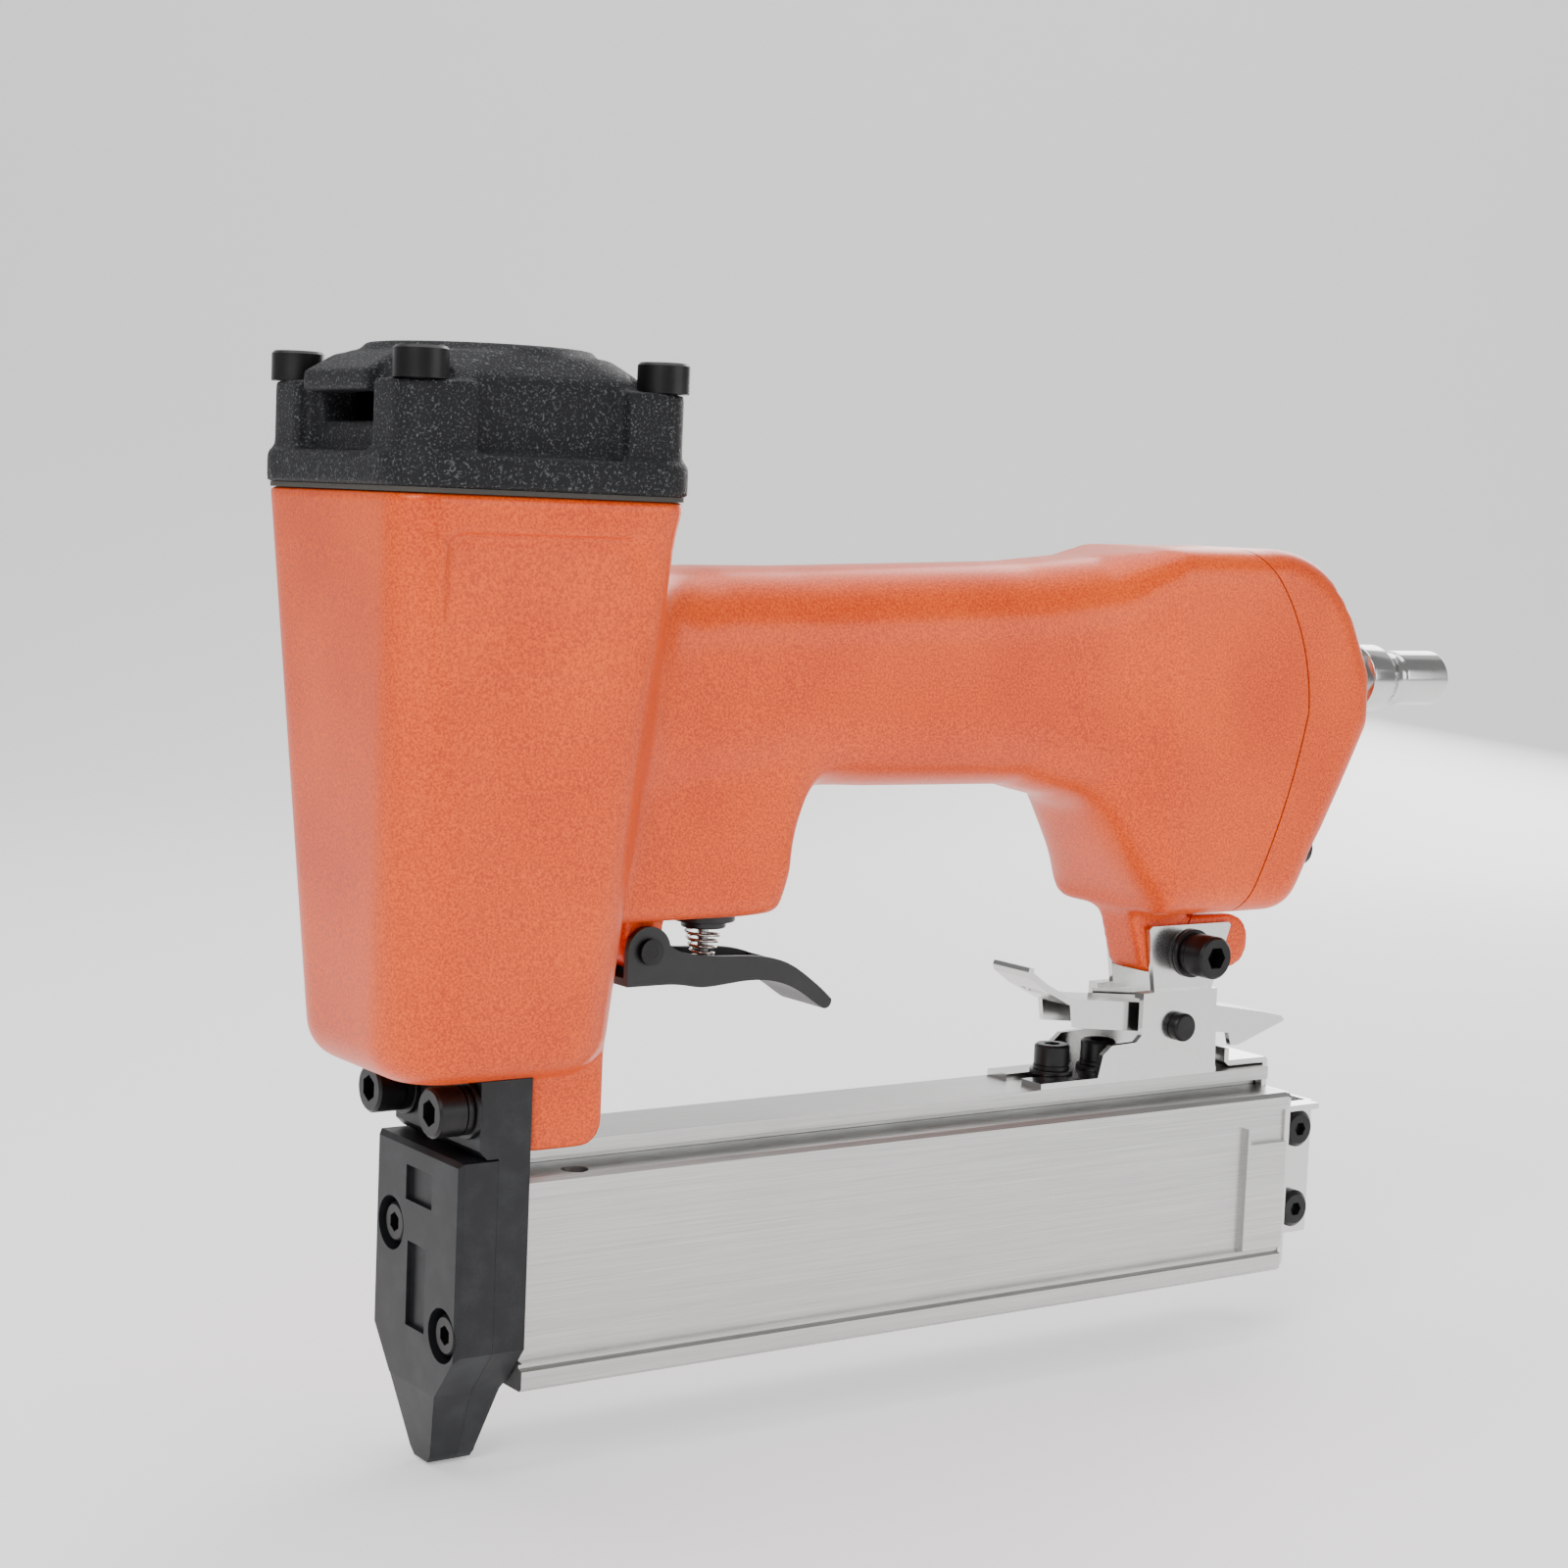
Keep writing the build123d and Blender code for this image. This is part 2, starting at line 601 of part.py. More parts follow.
save(socket_screws(facing_front(-2.8), [(-y, z) for y, z in nose_screw_places], 4.0, 3.5, 3.6, 8.3, 3.0),
     "nose_plate_screws")
mount_places = [(-mount_screw_y, mount_screw_z), (mount_screw_y, mount_screw_z)]
save(washers(facing_front(mount_block_front), mount_places, 4.9, 2.6, 1.0), "nose_flat_washers")
save(washers(facing_front(mount_block_front - 1.0), mount_places, 4.2, 2.6, 1.4), "nose_spring_washers")
save(socket_screws(facing_front(mount_block_front - 2.4), mount_places, 5.0, 4.25, 5.0, 20.0, 4.0),
     "nose_mount_screws")

# ---------------------------------------------------------------- trigger and its valve
with BuildPart() as trigger:
    with BuildSketch(Plane.XZ):
        with BuildLine():
            front = Line((28.9, 79.6), (28.9, pivot_z))
            ear = ThreePointArc(front @ 1, (pivot_x, pivot_z + 4.3), (pivot_x + 4.2, pivot_z + 0.9))
            upper = Spline(ear @ 1, (42.0, 84.6), (55.0, 83.6), (62.5, 81.9), (68.0, 78.4), (72.2, 74.9),
                           tangents=[(1, -0.9), (0.85, -0.8)])
            tail = ThreePointArc(upper @ 1, (71.9, 73.7), (70.4, 73.3))
            lower = Spline(tail @ 1, (65.6, 76.4), (60.5, 78.6), (52.0, 79.2), (44.0, 78.7), (36.0, 79.6),
                           tangents=[(-0.85, 0.45), (-1, 0)])
            Line(lower @ 1, front @ 0)
        make_face()
    extrude(amount=trigger_half, both=True)
    # open channel between the two cheeks, with the floor left as the finger face
    with BuildSketch(Plane.XZ):
        Polygon((28, 81.0), (40, 80.6), (47, 80.2), (54, 80.4), (60.5, 80.2), (62.5, 84.0),
                (50, 92), (28, 92), align=None)
    extrude(amount=trigger_half - trigger_wall, both=True, mode=Mode.SUBTRACT)
    with BuildSketch(across(10)):
        with Locations((pivot_x, pivot_z)):
            Circle(1.5 + fit)
    extrude(amount=20, mode=Mode.SUBTRACT)
save(trigger.part, "trigger")

with BuildPart() as trigger_pin:
    with BuildSketch(across(-7.4)):
        with Locations((pivot_x, pivot_z)):
            Circle(1.5)
    extrude(amount=-14.8)
    with BuildSketch(across(-trigger_half - 0.15)):
        with Locations((pivot_x, pivot_z)):
            Circle(2.3)
            Circle(1.0, mode=Mode.SUBTRACT)
    extrude(amount=0.9)
save(trigger_pin.part, "trigger_pin")

valve_low, stem_low, collar_z = 88.3, 80.5, 82.6
with BuildPart() as trigger_valve_body:
    with BuildSketch(Plane.XY.offset(valve_low)):
        with Locations((stem_x, 0)):
            Circle(4.0)
    extrude(amount=1.2)
    with BuildSketch(Plane.XY.offset(valve_low + 1.2)):
        with Locations((stem_x, 0)):
            Circle(5.6)
    extrude(amount=housing_bottom - valve_low - 1.2)
    with BuildSketch(Plane.XY.offset(housing_bottom)):
        with Locations((stem_x, 0)):
            Circle(5.0 - fit)
    extrude(amount=22)
    for groove_z in (95.0, 108.0):
        with BuildSketch(Plane.XY.offset(groove_z)):
            with Locations((stem_x, 0)):
                Circle(6)
                Circle(3.7, mode=Mode.SUBTRACT)
        extrude(amount=1.6, mode=Mode.SUBTRACT)
    with BuildSketch(Plane.XY.offset(valve_low)):
        with Locations((stem_x, 0)):
            Circle(1.0 + fit)
    extrude(amount=40, mode=Mode.SUBTRACT)
    with BuildSketch(Plane.XY.offset(102)):
        with Locations((stem_x, 0)):
            Circle(2.4)
    extrude(amount=20, mode=Mode.SUBTRACT)
save(trigger_valve_body.part, "trigger_valve_body")

with BuildPart() as trigger_valve_orings:
    for groove_z in (95.0, 108.0):
        with Locations((stem_x, 0, groove_z + 0.8)):
            Torus(4.33, 0.6)
save(trigger_valve_orings.part, "trigger_valve_orings")

with BuildPart() as trigger_valve_stem:
    with BuildSketch(Plane.XY.offset(stem_low)):
        with Locations((stem_x, 0)):
            Circle(1.0)
    extrude(amount=26)
    fillet(trigger_valve_stem.edges().sort_by(Axis.Z)[0], 0.5)
    with BuildSketch(Plane.XY.offset(collar_z)):
        with Locations((stem_x, 0)):
            Circle(2.3)
    extrude(amount=0.6)
    with BuildSketch(Plane.XY.offset(stem_low + 24.5)):
        with Locations((stem_x, 0)):
            Circle(2.1)
    extrude(amount=2.5)
save(trigger_valve_stem.part, "trigger_valve_stem")

spring_base = collar_z + 0.6
save(coil((stem_x, 0, spring_base + 0.35), (0, 0, 1), valve_low - spring_base - 0.7, 4, 1.9, 0.55, 3.3),
     "trigger_valve_spring")

# ---------------------------------------------------------------- rear bracket
ear_inner = ear_half - sheet
with BuildPart() as rear_bracket:
    # base plate on the rail, slotted for the front screw
    with BuildSketch(Plane.XY.offset(rail_top)):
        with Locations((143.5, 0)):
            Rectangle(45.0, 2 * wing_half)
        with Locations((base_screw_xs[0] - 6, 0)):
            Rectangle(12, 4.5, mode=Mode.SUBTRACT)
        with Locations(*[(x, 0) for x in base_screw_xs]):
            Circle(2.25, mode=Mode.SUBTRACT)
    extrude(amount=sheet)
    for side in (-1, 1):
        # lower wing
        with BuildSketch(across(side * wing_half, side)):
            with BuildLine():
                pts = [(134.8, rail_top), (136.2, 60.0), (138.4, 61.7), (144.5, 61.9), (145.9, 63.2),
                       (145.9, 71.4), (165.2, 71.4), (165.8, rail_top)]
                Polyline([(-side * x, z) for x, z in pts], close=True)
            make_face()
        extrude(amount=-sheet)
        # shelf that steps the wing in to the ear
        with BuildSketch(Plane.XY.offset(71.4)):
            with Locations((155.55, side * (wing_half + ear_inner) / 2)):
                Rectangle(19.3, wing_half - ear_inner)
        extrude(amount=-sheet)
        # upper ear, wider at the top
        with BuildSketch(across(side * ear_half, side)):
            with BuildLine():
                pts = [(148.6, 84.2), (147.9, 83.6), (150.0, 71.0)]
                pts += [(165.0, 71.0), (169.4, 83.6), (168.8, 84.2)]
                Polyline([(-side * x, z) for x, z in pts], close=True)
            make_face()
        extrude(amount=-sheet)
    with BuildSketch(across(12)):
        with Locations((latch_x, latch_z)):
            Circle(latch_pin_r + fit)
        with Locations((bracket_bolt_x, bracket_bolt_z)):
            Circle(2.5 + fit)
    extrude(amount=24, mode=Mode.SUBTRACT)
save(rear_bracket.part, "rear_bracket")

bolt_place = [(bracket_bolt_x, bracket_bolt_z)]
save(washers(across(-ear_half), bolt_place, 4.8, 2.6, 1.0), "bracket_flat_washer")
save(washers(across(-ear_half - 1.0), bolt_place, 4.2, 2.6, 1.4), "bracket_spring_washer")
save(socket_screws(across(-ear_half - 2.4), bolt_place, 5.0, 4.25, 5.0, 22.0, 4.0), "bracket_bolt")
with BuildPart() as bracket_nut:
    with BuildSketch(across(ear_half, 1)):
        with Locations((-bracket_bolt_x, bracket_bolt_z)):
            RegularPolygon(4.0, 6, major_radius=False)
            Circle(2.5 + fit, mode=Mode.SUBTRACT)
    extrude(amount=4.0)
save(bracket_nut.part, "bracket_nut")

base_places = [(x, 0) for x in base_screw_xs]
save(washers(Plane.XY.offset(rail_top + sheet), base_places, 4.2, 2.1, 0.8), "base_flat_washers")
save(washers(Plane.XY.offset(rail_top + sheet + 0.8), base_places, 3.6, 2.1, 1.0), "base_spring_washers")
save(socket_screws(Plane.XY.offset(rail_top + sheet + 1.8), base_places, 4.0, 3.5, 4.0, 6.8, 3.0),
     "base_screws")

# ---------------------------------------------------------------- latch
with BuildPart() as latch_pin:
    with BuildSketch(across(-wing_half)):
        with Locations((latch_x, latch_z)):
            Circle(2.8)
    extrude(amount=2.4)
    chamfer(latch_pin.edges().sort_by(Axis.Y)[0], 0.5)
    with BuildSketch(across(-wing_half)):
        with Locations((latch_x, latch_z)):
            Circle(latch_pin_r)
    extrude(amount=-2 * wing_half - 1.4)
save(latch_pin.part, "latch_pin")

latch_half, latch_wall = 5.4, 1.2
with BuildPart() as latch_lever:
    # side walls with the hook at the rear
    with BuildSketch(Plane.XZ):
        Polygon((130.4, 70.8), (131.2, 65.2), (148.0, 63.4), (151.0, 61.9), (159.6, 61.9), (163.0, 62.6),
                (171.6, 61.4), (172.4, beak_low), (174.6, beak_low), (187.0, 62.9), (186.2, 63.9),
                (181.2, 65.0), (168.4, 67.2), align=None)
    extrude(amount=latch_half, both=True)
    # open underneath, under a top of one sheet
    with BuildSketch(Plane.XZ):
        Polygon((129, 69.7), (168.2, 66.0), (173.0, 65.2), (178.0, 64.3), (178.0, 50), (129, 50), align=None)
    extrude(amount=latch_half - latch_wall, both=True, mode=Mode.SUBTRACT)
    # thumb tab, curled at its tip, with a slot in it
    with BuildSketch(Plane.XZ):
        with BuildLine():
            under = Polyline((131.0, 69.5), (129.8, 69.6), (123.0, 73.0), (119.9, 75.2))
            curl = ThreePointArc(under @ 1, (118.9, 76.3), (119.2, 77.6))
            edge = Line(curl @ 1, (120.4, 77.4))
            back = ThreePointArc(edge @ 1, (120.2, 76.7), (120.7, 76.2))
            Polyline(back @ 1, (123.6, 74.2), (130.2, 70.85), (131.0, 70.8), (131.0, 69.5))
        make_face()
    extrude(amount=latch_half, both=True)
    with BuildSketch(Plane.XY.offset(66)):
        with Locations((125.0, 0)):
            RectangleRounded(2.6, 6.5, 1.0)
    extrude(amount=12, mode=Mode.SUBTRACT)
    with BuildSketch(across(12)):
        with Locations((latch_x, latch_z)):
            Circle(latch_pin_r + fit)
    extrude(amount=24, mode=Mode.SUBTRACT)
save(latch_lever.part, "latch_lever")

save(coil((latch_x, -2.6, latch_z), (0, 1, 0), 5.2, 6, 2.4, 0.6), "latch_spring")

# ---------------------------------------------------------------- fixed magazine rail
with BuildPart() as fixed_magazine:
    with BuildSketch(Plane.YZ.offset(rail_start)):
        with BuildLine():
            near = [(rail_half, rail_top), (rail_half, rail_flange_low), (web_half, rail_flange_low),
                    (web_half, rib_high), (rib_half, rib_high), (rib_half, rib_low),
                    (web_half, rib_low), (web_half, web_bottom)]
            Polyline(near + [(-y, z) for y, z in reversed(near)], close=True)
        make_face()
        with Locations((0, (web_bottom + nail_slot_top) / 2)):
            Rectangle(2 * nail_slot_half, nail_slot_top - web_bottom, mode=Mode.SUBTRACT)
    extrude(amount=rail_end - rail_start)
    with BuildSketch(Plane.XY.offset(rail_top)):
        with Locations(*base_places):
            Circle(2.0 + fit)
    extrude(amount=nail_slot_top - rail_top, mode=Mode.SUBTRACT)
save(fixed_magazine.part, "fixed_magazine")

# ---------------------------------------------------------------- sliding magazine and its end
cavity_half, cavity_low, cavity_high = 10.9, 16.5, 47.8
with BuildPart() as movable_magazine:
    with BuildSketch(Plane.YZ.offset(outer_start)):
        with BuildLine():
            half_outline = [(web_half + 0.25, outer_top), (outer_half - 0.8, outer_top),
                            (outer_half, outer_top - 0.8), (outer_half, panel_low - 0.2),
                            (outer_half - 1.1, panel_low - 0.6), (outer_half - 1.1, panel_low - 1.2),
                            (outer_half, panel_low - 1.6), (outer_half, outer_low + 0.6),
                            (outer_half - 0.6, outer_low)]
            inner_outline = [(cavity_half, cavity_low), (cavity_half, cavity_high),
                             (web_half + 0.25, cavity_high)]
            loop = half_outline + [(-y, z) for y, z in reversed(half_outline)]
            loop += [(-y, z) for y, z in reversed(inner_outline)] + inner_outline
            Polyline(loop, close=True)
        make_face()
    extrude(amount=outer_end - outer_start)
    # long shallow panel on each side, closed by a raised column at the rear
    for side in (-1, 1):
        with BuildSketch(across(side * outer_half, side)):
            with BuildLine():
                pts = [(0, panel_low), (column_start, panel_low)]
                pts += [(column_start, panel_high), (0, panel_high)]
                Polyline([(-side * x, z) for x, z in pts], close=True)
            make_face()
        extrude(amount=-panel_depth, mode=Mode.SUBTRACT)
        with BuildSketch(across(side * outer_half, side)):
            with BuildLine():
                pts = [(column_start + 1, 40.2), (182, 40.2)]
                pts += [(182, panel_high), (column_start - 1, panel_high)]
                Polyline([(-side * x, z) for x, z in pts], close=True)
            make_face()
        extrude(amount=-panel_depth, mode=Mode.SUBTRACT)
    with BuildSketch(Plane.XY.offset(outer_top)):
        with Locations((17.0, -10.9)):
            Circle(2.35)
    extrude(amount=cavity_high - outer_top, mode=Mode.SUBTRACT)
save(movable_magazine.part, "movable_magazine")

plate_start, plate_end = outer_end, outer_end + 1.4
lip_x, strap_low = 170.4, rail_top + 0.3
with BuildPart() as magazine_end_plate:
    with BuildSketch(Plane.YZ.offset(plate_start)):
        with Locations((0, 32.0)):
            RectangleRounded(26.6, 35.8, 1.2)
    extrude(amount=plate_end - plate_start)
    # strap over the end of the rail, curled up at its front as the catch
    with BuildSketch(Plane.XZ):
        Polygon((plate_start, 40), (plate_start, strap_low), (lip_x + sheet, strap_low),
                (lip_x, strap_low + 1.0), (lip_x, lip_top), (lip_x + sheet, lip_top),
                (lip_x + sheet, strap_low + sheet),
                (plate_end - 0.6, strap_low + sheet), (plate_end, strap_low + sheet - 0.6), (plate_end, 40),
                align=None)
    extrude(amount=6.0, both=True)
    with BuildSketch(Plane.YZ.offset(plate_start)):
        with Locations((0, rod_z)):
            Circle(rod_r + fit)
    extrude(amount=5, mode=Mode.SUBTRACT)
save(magazine_end_plate.part, "magazine_end_plate")

block_half, block_low_z, block_high_z = 8.5, 20.2, 46.0
with BuildPart() as magazine_end_block:
    with BuildSketch(Plane.YZ.offset(plate_end)):
        with Locations((0, (block_low_z + block_high_z) / 2)):
            RectangleRounded(2 * block_half, block_high_z - block_low_z, 1.0)
    extrude(amount=end_block_end - plate_end)
    with BuildSketch(Plane.YZ.offset(plate_end)):
        with Locations((0, 33)):
            RectangleRounded(9, 10, 2)
    extrude(amount=20, mode=Mode.SUBTRACT)
    with BuildSketch(across(20)):
        with Locations((186.8, 41.7), (186.8, 25.2)):
            Circle(2.0 + fit)
    extrude(amount=40, mode=Mode.SUBTRACT)
save(magazine_end_block.part, "magazine_end_block")

with BuildPart() as magazine_end_bracket:
    with BuildSketch(Plane.XY.offset(19.8)):
        with BuildLine():
            inner = block_half + 0.05
            outer = inner + sheet
            Polyline((plate_end + 0.1, -outer), (end_block_end + 1.3, -outer), (end_block_end + 1.3, outer),
                     (plate_end + 0.1, outer), (plate_end + 0.1, inner), (end_block_end + 0.05, inner),
                     (end_block_end + 0.05, -inner), (plate_end + 0.1, -inner), close=True)
        make_face()
    extrude(amount=27.0)
    fillet(magazine_end_bracket.edges().filter_by(Axis.Z).group_by(Axis.X)[-1], 1.1)
    for side in (-1, 1):
        with BuildSketch(Plane.XY.offset(46.8)):
            with Locations(((plate_end + end_block_end + 0.9) / 2, side * (outer + 1.0))):
                Rectangle(end_block_end - plate_end - 0.7, 3.2)
        extrude(amount=-sheet)
    with BuildSketch(Plane.YZ.offset(end_block_end)):
        with Locations((0, 33)):
            RectangleRounded(9, 10, 2)
    extrude(amount=4, mode=Mode.SUBTRACT)
    with BuildSketch(across(20)):
        with Locations((186.8, 41.7), (186.8, 25.2)):
            Circle(2.0 + fit)
    extrude(amount=40, mode=Mode.SUBTRACT)
save(magazine_end_bracket.part, "magazine_end_bracket")

with BuildPart() as end_bracket_screws:
    for side in (-1, 1):
        seat = across(side * (block_half + 0.05 + sheet), side)
        places = [(-side * 186.8, 41.7), (-side * 186.8, 25.2)]
        add(socket_screws(seat, places, 4.0, 3.8, 2.2, 7.0, 2.5))
save(end_bracket_screws.part, "end_bracket_screws")

with BuildPart() as pusher_rod:
    with BuildSketch(Plane.YZ.offset(6.6)):
        with Locations((0, rod_z)):
            Circle(rod_r)
    extrude(amount=plate_end - 6.6)
save(pusher_rod.part, "pusher_rod")

with BuildPart() as rod_bush:
    with BuildSketch(Plane.YZ.offset(6.4)):
        with Locations((0, (cavity_low + 23.4) / 2)):
            RectangleRounded(9, 23.4 - cavity_low, 1.0)
        with Locations((0, rod_z)):
            Circle(rod_r + fit, mode=Mode.SUBTRACT)
    extrude(amount=1.6)
save(rod_bush.part, "rod_bush")

pusher_start, pusher_end = 8.4, 26.0
with BuildPart() as pusher:
    with BuildSketch(Plane.YZ.offset(pusher_start)):
        with Locations((0, 20.6)):
            RectangleRounded(7.0, 5.8, 0.8)
        with Locations((0, 36)):
            Rectangle(1.3, 27)
        with Locations((0, rod_z)):
            Circle(rod_r + 0.15, mode=Mode.SUBTRACT)
    extrude(amount=pusher_end - pusher_start)
save(pusher.part, "pusher")

save(coil((pusher_end + 0.5, 0, rod_z), (1, 0, 0), outer_end - pusher_end - 1.0, 24, 2.25, 0.8),
     "pusher_spring")
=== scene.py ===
"""Looks of a pneumatic brad nailer: castings, pressed steel, extrusions, screws and springs."""
import json
import logging
import math
from dataclasses import dataclass
from enum import Enum
from typing import Any, Callable, Iterable, Optional, Sequence

import bmesh
import bpy
import numpy as np
from mathutils import Matrix, Vector


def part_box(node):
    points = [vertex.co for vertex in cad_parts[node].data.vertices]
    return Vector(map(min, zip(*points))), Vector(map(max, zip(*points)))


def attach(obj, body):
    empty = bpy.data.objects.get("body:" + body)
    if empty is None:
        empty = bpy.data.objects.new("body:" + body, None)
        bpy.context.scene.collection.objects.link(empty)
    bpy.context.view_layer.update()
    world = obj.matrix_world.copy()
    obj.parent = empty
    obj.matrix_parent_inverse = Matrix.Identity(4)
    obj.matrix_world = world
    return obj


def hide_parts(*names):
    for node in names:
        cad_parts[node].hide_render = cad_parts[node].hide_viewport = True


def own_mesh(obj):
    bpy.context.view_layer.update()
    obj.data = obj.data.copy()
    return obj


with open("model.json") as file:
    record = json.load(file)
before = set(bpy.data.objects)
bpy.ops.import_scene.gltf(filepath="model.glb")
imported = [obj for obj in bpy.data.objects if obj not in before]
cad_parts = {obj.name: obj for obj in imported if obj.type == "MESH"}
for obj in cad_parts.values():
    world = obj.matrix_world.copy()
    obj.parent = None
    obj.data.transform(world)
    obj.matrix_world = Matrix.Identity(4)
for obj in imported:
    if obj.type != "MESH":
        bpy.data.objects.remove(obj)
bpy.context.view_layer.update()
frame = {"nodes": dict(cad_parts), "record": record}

log = logging.getLogger("brad_nailer")

MM = 0.001
Point = tuple[float, float, float]


class Slot(Enum):
    """The record's material slots."""

    PAINT = "hammer_orange"
    CAST = "sand_cast_black"
    OXIDE = "black_oxide_screws"
    PHOSPHATE = "phosphated_steel"
    TRIGGER = "satin_black_trigger"
    EXTRUSION = "brushed_aluminium"
    NICKEL = "bright_nickel"
    GROUND = "ground_steel"
    WIRE = "spring_wire"
    RUBBER = "black_rubber"
    BUMPER = "amber_bumper"
    GASKET = "gasket_sheet"
    TURNED = "turned_aluminium"
    NYLON = "moulded_black"


# ------------------------------------------------------------------ node graphs


class Graph:
    """A shader or geometry node tree, filled through one method."""

    def __init__(self, tree: bpy.types.NodeTree) -> None:
        """Start from an empty tree.

        Args:
            tree: The tree to fill; its nodes are cleared.
        """
        self.tree = tree
        tree.nodes.clear()

    def node(self, kind: str, settings: Optional[dict[str, Any]] = None,
             sockets: Optional[dict[Any, Any]] = None) -> bpy.types.Node:
        """Add a node.

        Args:
            kind: The node's type name.
            settings: Properties set before the sockets; a ramp's stops go under "stops".
            sockets: Input name or index to a value, a Link, or an output socket.

        Returns:
            The new node.
        """
        made = self.tree.nodes.new(kind)
        for key, value in (settings or {}).items():
            if key == "stops":
                self._stops(made.color_ramp, value)
            else:
                setattr(made, key, value)
        for key, value in (sockets or {}).items():
            target = made.inputs[key]
            if isinstance(value, Link):
                self.tree.links.new(value.socket, target)
            elif isinstance(value, bpy.types.NodeSocket):
                self.tree.links.new(value, target)
            else:
                target.default_value = value
        return made

    @staticmethod
    def _stops(ramp: bpy.types.ColorRamp, stops: Sequence[tuple[float, float]]) -> None:
        """Set a ramp's stops.

        Args:
            ramp: The ramp to set.
            stops: Pairs of position and grey level.
        """
        while len(ramp.elements) < len(stops):
            ramp.elements.new(1.0)
        for element, (position, level) in zip(ramp.elements, stops):
            element.position = position
            element.color = (level, level, level, 1.0)

    def link(self, node: bpy.types.Node, output: Any = 0) -> "Link":
        """Wrap one output of a node so that expressions can use it.

        Args:
            node: The node.
            output: The output's name or index.

        Returns:
            The wrapped output.
        """
        return Link(self, node.outputs[output])


class Link:
    """A socket that Python arithmetic turns into Math nodes."""

    def __init__(self, graph: Graph, socket: bpy.types.NodeSocket) -> None:
        """Keep the socket and the graph it is in."""
        self.graph = graph
        self.socket = socket

    def _math(self, operation: str, first: Any, second: Any) -> "Link":
        """Add one Math node and wrap its result."""
        made = self.graph.node("ShaderNodeMath", {"operation": operation}, {0: first, 1: second})
        return self.graph.link(made)

    def __add__(self, other: Any) -> "Link":
        """self + other."""
        return self._math("ADD", self, other)

    __radd__ = __add__

    def __sub__(self, other: Any) -> "Link":
        """self - other."""
        return self._math("SUBTRACT", self, other)

    def __rsub__(self, other: Any) -> "Link":
        """other - self."""
        return self._math("SUBTRACT", other, self)

    def __mul__(self, other: Any) -> "Link":
        """self * other."""
        return self._math("MULTIPLY", self, other)

    __rmul__ = __mul__


# ------------------------------------------------------------------ finishes


@dataclass(frozen=True)
class Finish:
    """Base of every finish: one procedural material for one slot."""

    slot: Slot
    color: Point
    metallic: float = 0.0
    roughness: float = 0.5

    def build(self) -> bpy.types.Material:
        """Make the material.

        Returns:
            The finished material, named after the slot.
        """
        material = bpy.data.materials.new(self.slot.value)
        material.use_nodes = True
        material.diffuse_color = (*self.color, 1.0)
        graph = Graph(material.node_tree)
        shader = graph.node("ShaderNodeBsdfPrincipled", None,
                            {"Base Color": (*self.color, 1.0), "Metallic": self.metallic,
                             "Roughness": self.roughness})
        graph.node("ShaderNodeOutputMaterial", None, {"Surface": shader.outputs[0]})
        place = graph.node("ShaderNodeTexCoord").outputs["Object"]
        self.dress(graph, shader, place)
        return material

    def dress(self, graph: Graph, shader: bpy.types.Node, place: bpy.types.NodeSocket) -> None:
        """Add the finish's own detail to the shader.

        Args:
            graph: The material's graph.
            shader: The surface shader.
            place: Object coordinates.
        """

    @staticmethod
    def noise(graph: Graph, place: Any, size_mm: float, detail: float = 2.0, rough: float = 0.5) -> Link:
        """A noise value.

        Args:
            graph: The material's graph.
            place: Coordinates to sample it at.
            size_mm: About how far across its features are.
            detail: How many finer layers it has.
            rough: How strong the finer layers are.

        Returns:
            The noise, from 0 to 1.
        """
        made = graph.node("ShaderNodeTexNoise", None, {
            "Vector": place, "Scale": 1.0 / (size_mm * MM), "Detail": detail, "Roughness": rough})
        return graph.link(made, 0)

    @staticmethod
    def tint(graph: Graph, factor: Any, low: Point, high: Point) -> bpy.types.NodeSocket:
        """A colour between two others.

        Args:
            graph: The material's graph.
            factor: 0 gives low and 1 gives high.
            low: The first colour.
            high: The second colour.

        Returns:
            The mixed colour.
        """
        made = graph.node("ShaderNodeMix", {"data_type": "RGBA"},
                          {0: factor, 6: (*low, 1.0), 7: (*high, 1.0)})
        return made.outputs[2]

    @staticmethod
    def bump(graph: Graph, shader: bpy.types.Node, height: Link, depth_mm: float,
             strength: float = 1.0) -> None:
        """Feed a height through a Bump node into the shader's normal.

        Args:
            graph: The material's graph.
            shader: The surface shader.
            height: The height, from 0 to 1.
            depth_mm: How deep the full height is.
            strength: How much of the effect shows.
        """
        made = graph.node("ShaderNodeBump", None,
                          {"Height": height, "Distance": depth_mm * MM, "Strength": strength})
        graph.tree.links.new(made.outputs[0], shader.inputs["Normal"])

    def set(self, graph: Graph, shader: bpy.types.Node, name: str, value: Any) -> None:
        """Link a value to one of the shader's inputs.

        Args:
            graph: The material's graph.
            shader: The surface shader.
            name: The input's name.
            value: A Link or an output socket.
        """
        source = value.socket if isinstance(value, Link) else value
        graph.tree.links.new(source, shader.inputs[name])

    def ramp(self, graph: Graph, value: Link, low: float, high: float) -> Link:
        """Stretch a value and hold it between 0 and 1.

        Args:
            graph: The material's graph.
            value: The value to stretch.
            low: What becomes 0.
            high: What becomes 1.

        Returns:
            The stretched value.
        """
        made = graph.node("ShaderNodeMapRange", {"clamp": True},
                          {"Value": value, "From Min": low, "From Max": high})
        return graph.link(made)


